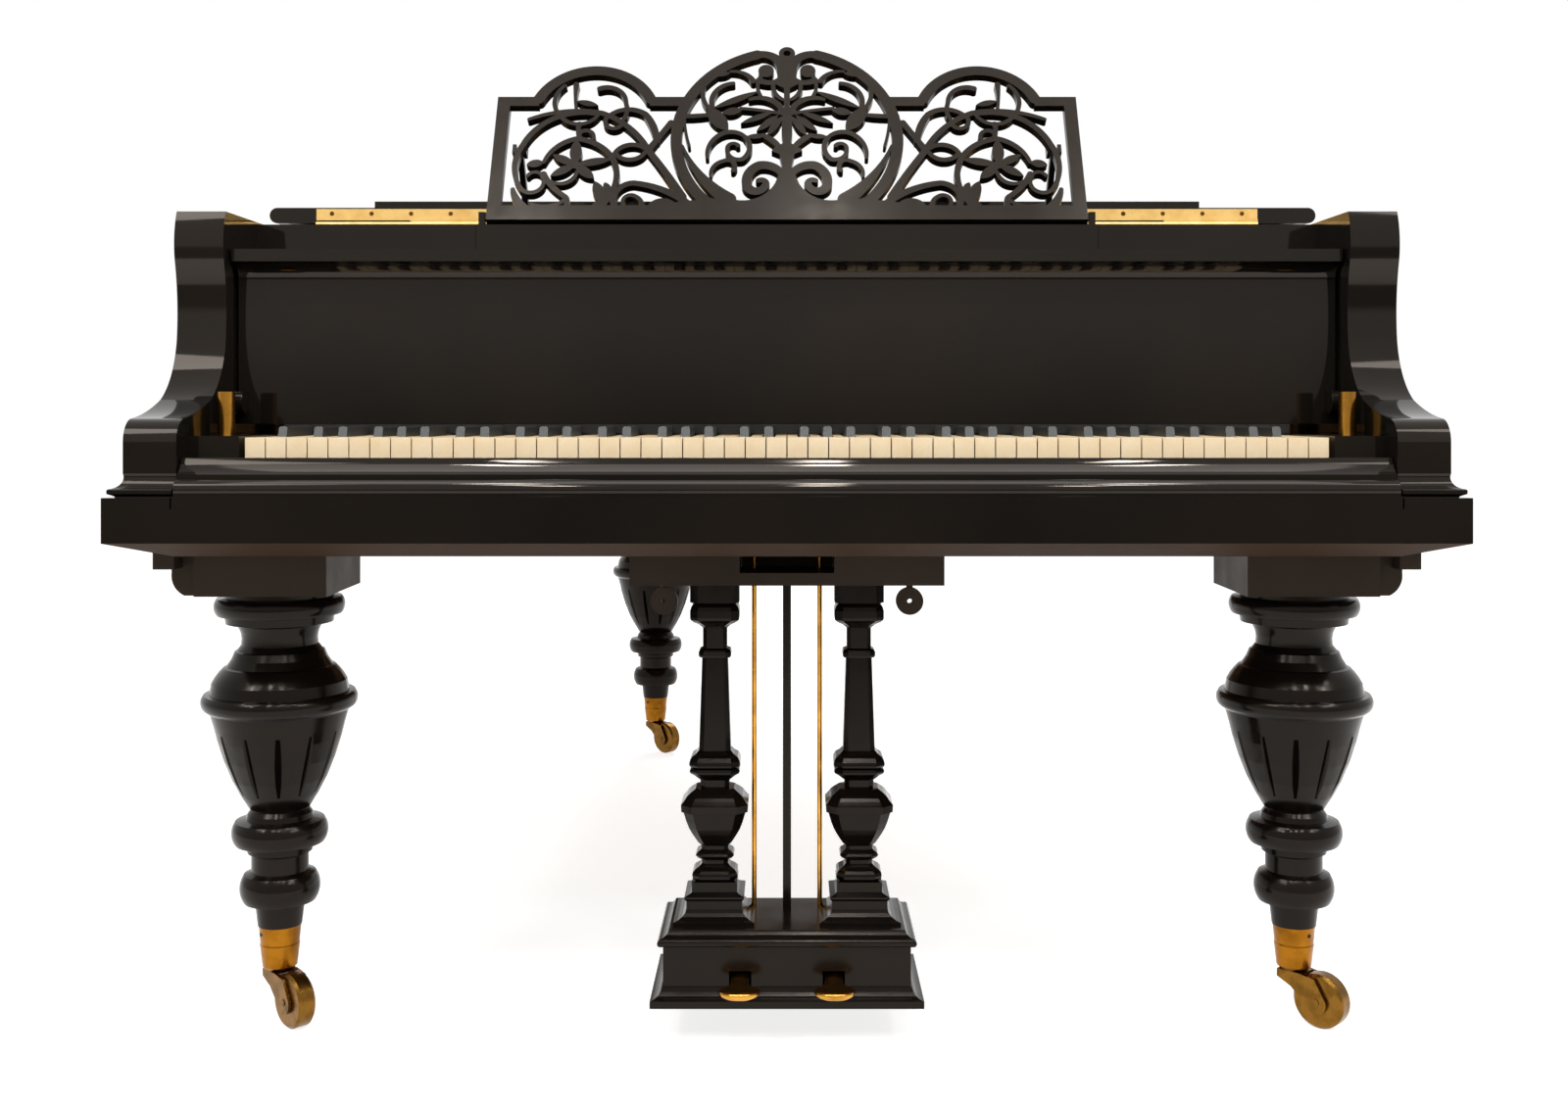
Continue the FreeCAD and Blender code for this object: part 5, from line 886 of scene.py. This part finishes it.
@dataclass
class Studio:
    """Pale floor, soft lamps, white surround and the photograph's camera."""

    floor_half_width: float = 40.0
    floor_front: float = -4.6
    floor_colour: str = "#c9c8c6"
    floor_glow: float = 0.8
    white: str = "#ffffff"
    # The room behind the camera is dimmer than the one behind the piano.
    room_front: str = "#a0978d"
    room_back: str = "#e6e6e6"
    room_strength: float = 0.8
    room_turn: float = 0.6
    horizon: tuple[float, float] = (-0.02, 0.05)
    overhead: float = 0.75
    lamps: tuple[Lamp, ...] = (Lamp("soft_above", (0.0, -1.4, 4.2), (3.6, 2.4), 72.0, (0.0, 0.0, 0.6)),
                               Lamp("soft_left", (-2.7, -3.3, 4.0), (1.6, 2.0), 62.0, (0.0, -0.6, 0.6)),
                               Lamp("soft_right", (2.9, -3.1, 3.8), (1.4, 2.0), 50.0, (0.0, -0.6, 0.6)),
                               Lamp("soft_behind", (0.6, 3.6, 3.4), (2.6, 1.8), 60.0, (0.0, 0.4, 0.7)))
    ceiling_rows: tuple[float, ...] = (-1.9, -2.7, -3.7)
    ceiling_columns: tuple[float, ...] = (-2.3, -0.75, 0.1, 0.95, 2.5)
    ceiling_height: float = 3.0
    ceiling_size: tuple[float, float] = (0.12, 0.34)
    ceiling_power: float = 7.0
    ceiling_inwards: float = 0.4
    ceiling_target: tuple[float, float] = (-1.0, 0.65)
    camera_place: Triple = (0.0, -2.825, 0.738)
    focal_px: float = 1690.0
    image_px: tuple[int, int] = (1600, 1131)
    centre_px: tuple[float, float] = (803.0, 416.0)
    sensor_mm: float = 36.0

    def floor(self) -> None:
        """Lay a pale sheet, far to the sides and behind, that is white to the eye and keeps the shadow."""
        mesh = bmesh.new()
        bmesh.ops.create_grid(mesh, x_segments=1, y_segments=1, size=self.floor_half_width)
        bmesh.ops.translate(mesh, verts=mesh.verts, vec=(0, self.floor_half_width + self.floor_front, 0))
        data = bpy.data.meshes.new("floor")
        mesh.to_mesh(data)
        mesh.free()
        floor = bpy.data.objects.new("floor", data)
        bpy.context.scene.collection.objects.link(floor)
        material = bpy.data.materials.new("pale_floor")
        material.use_nodes = True
        tree = material.node_tree
        tree.nodes.clear()
        path = add_node(tree, "ShaderNodeLightPath")
        straight = self.straight_rays(tree, path)
        seen = add_node(tree, "ShaderNodeMath", {0: straight, 1: path.outputs["Is Glossy Ray"]}, operation="MAXIMUM")
        matt = add_node(tree, "ShaderNodeBsdfDiffuse", {"Color": linear(self.floor_colour)})
        glow = add_node(tree, "ShaderNodeEmission", {"Color": linear(self.white), "Strength": self.floor_glow})
        none = add_node(tree, "ShaderNodeEmission", {"Strength": 0.0})
        shown = add_node(tree, "ShaderNodeMixShader", {0: seen.outputs[0], 1: none.outputs[0], 2: glow.outputs[0]})
        both = add_node(tree, "ShaderNodeAddShader", {0: matt.outputs[0], 1: shown.outputs[0]})
        add_node(tree, "ShaderNodeOutputMaterial", {"Surface": both.outputs[0]})
        data.materials.append(material)

    @staticmethod
    def straight_rays(tree: Tree, path: bpy.types.Node) -> Socket:
        """Pick the rays that look at the surround directly or through glass.

        Args:
            tree: The node tree of the floor or the world.
            path: Its Light Path node.

        Returns:
            1 for these rays, 0 for the others.
        """
        return add_node(tree, "ShaderNodeMath", {0: path.outputs["Is Camera Ray"],
                                                 1: path.outputs["Is Transmission Ray"]},
                        operation="MAXIMUM").outputs[0]

    def world(self) -> None:
        """Light the room: white behind and overhead for the eye and the polish, dim towards the player's side."""
        world = bpy.data.worlds.new("studio")
        bpy.context.scene.world = world
        world.use_nodes = True
        tree = world.node_tree
        tree.nodes.clear()
        path = add_node(tree, "ShaderNodeLightPath")
        way = add_node(tree, "ShaderNodeTexCoord").outputs["Generated"]
        split = add_node(tree, "ShaderNodeSeparateXYZ", {0: way})
        depth = add_node(tree, "ShaderNodeMapRange", {"Value": split.outputs["Y"], "From Min": -self.room_turn,
                                                      "From Max": self.room_turn}).outputs[0]
        room = add_node(tree, "ShaderNodeMix", {SHARE: depth, FIRST: linear(self.room_front),
                                                SECOND: linear(self.room_back)}, data_type="RGBA").outputs[MIXED]
        light = add_node(tree, "ShaderNodeBackground", {"Color": room, "Strength": self.room_strength})
        white = add_node(tree, "ShaderNodeBackground", {"Color": linear(self.white), "Strength": 1.0})
        rising = add_node(tree, "ShaderNodeMapRange", {"Value": split.outputs["Z"], "From Min": self.horizon[0],
                                                       "From Max": self.horizon[1],
                                                       "To Max": self.overhead}).outputs[0]
        backdrop = add_node(tree, "ShaderNodeMath", {0: depth, 1: rising}, operation="MAXIMUM").outputs[0]
        mirrored = add_node(tree, "ShaderNodeMath", {0: path.outputs["Is Glossy Ray"], 1: backdrop},
                            operation="MULTIPLY").outputs[0]
        seen = add_node(tree, "ShaderNodeMath", {0: self.straight_rays(tree, path), 1: mirrored}, operation="MAXIMUM")
        both = add_node(tree, "ShaderNodeMixShader", {0: seen.outputs[0], 1: light.outputs[0], 2: white.outputs[0]})
        add_node(tree, "ShaderNodeOutputWorld", {"Surface": both.outputs[0]})

    def light(self) -> None:
        """Hang the large soft lamps, and the small ones over the player that draw the glints on the polish."""
        for lamp in self.lamps:
            lamp.hang()
        for y in self.ceiling_rows:
            for x in self.ceiling_columns:
                Lamp("ceiling_lamp", (x, y, self.ceiling_height), self.ceiling_size, self.ceiling_power,
                     (self.ceiling_inwards * x, *self.ceiling_target)).hang()

    def camera(self) -> None:
        """Set the level camera with the photograph's lens and framing."""
        width, height = self.image_px
        data = bpy.data.cameras.new("photo_camera")
        data.sensor_width = self.sensor_mm
        data.lens = self.focal_px / width * self.sensor_mm
        data.shift_x = (width / 2 - self.centre_px[0]) / width
        data.shift_y = (self.centre_px[1] - height / 2) / width
        camera = bpy.data.objects.new("photo_camera", data)
        camera.location = self.camera_place
        camera.rotation_euler = (math.pi / 2, 0, 0)
        bpy.context.scene.collection.objects.link(camera)
        bpy.context.scene.camera = camera
        bpy.context.scene.view_settings.view_transform = "Standard"

    def build(self) -> None:
        """Make the whole stage."""
        self.floor()
        self.world()
        self.light()
        self.camera()


def write_sizes() -> None:
    """Update the view layer, so that every object's matrix is current.
    """
    bpy.context.view_layer.update()


def main() -> None:
    """Load the frame, dress every node, add the fittings and set the stage."""
    logging.basicConfig(level=logging.INFO)
    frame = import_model()
    for finish, nodes in NODE_FINISHES.items():
        for node in nodes:
            finish.dress(frame["nodes"][node])
            LOG.info("node %s in %s", node, finish.name)
    for assembly in (FlapFittings(), FallboardFelt(), CupScrews(), LyreRecess(), *map(Pedal, Side)):
        assembly.build()
    Studio().build()
    write_sizes()


if __name__ == "__main__":
    main()
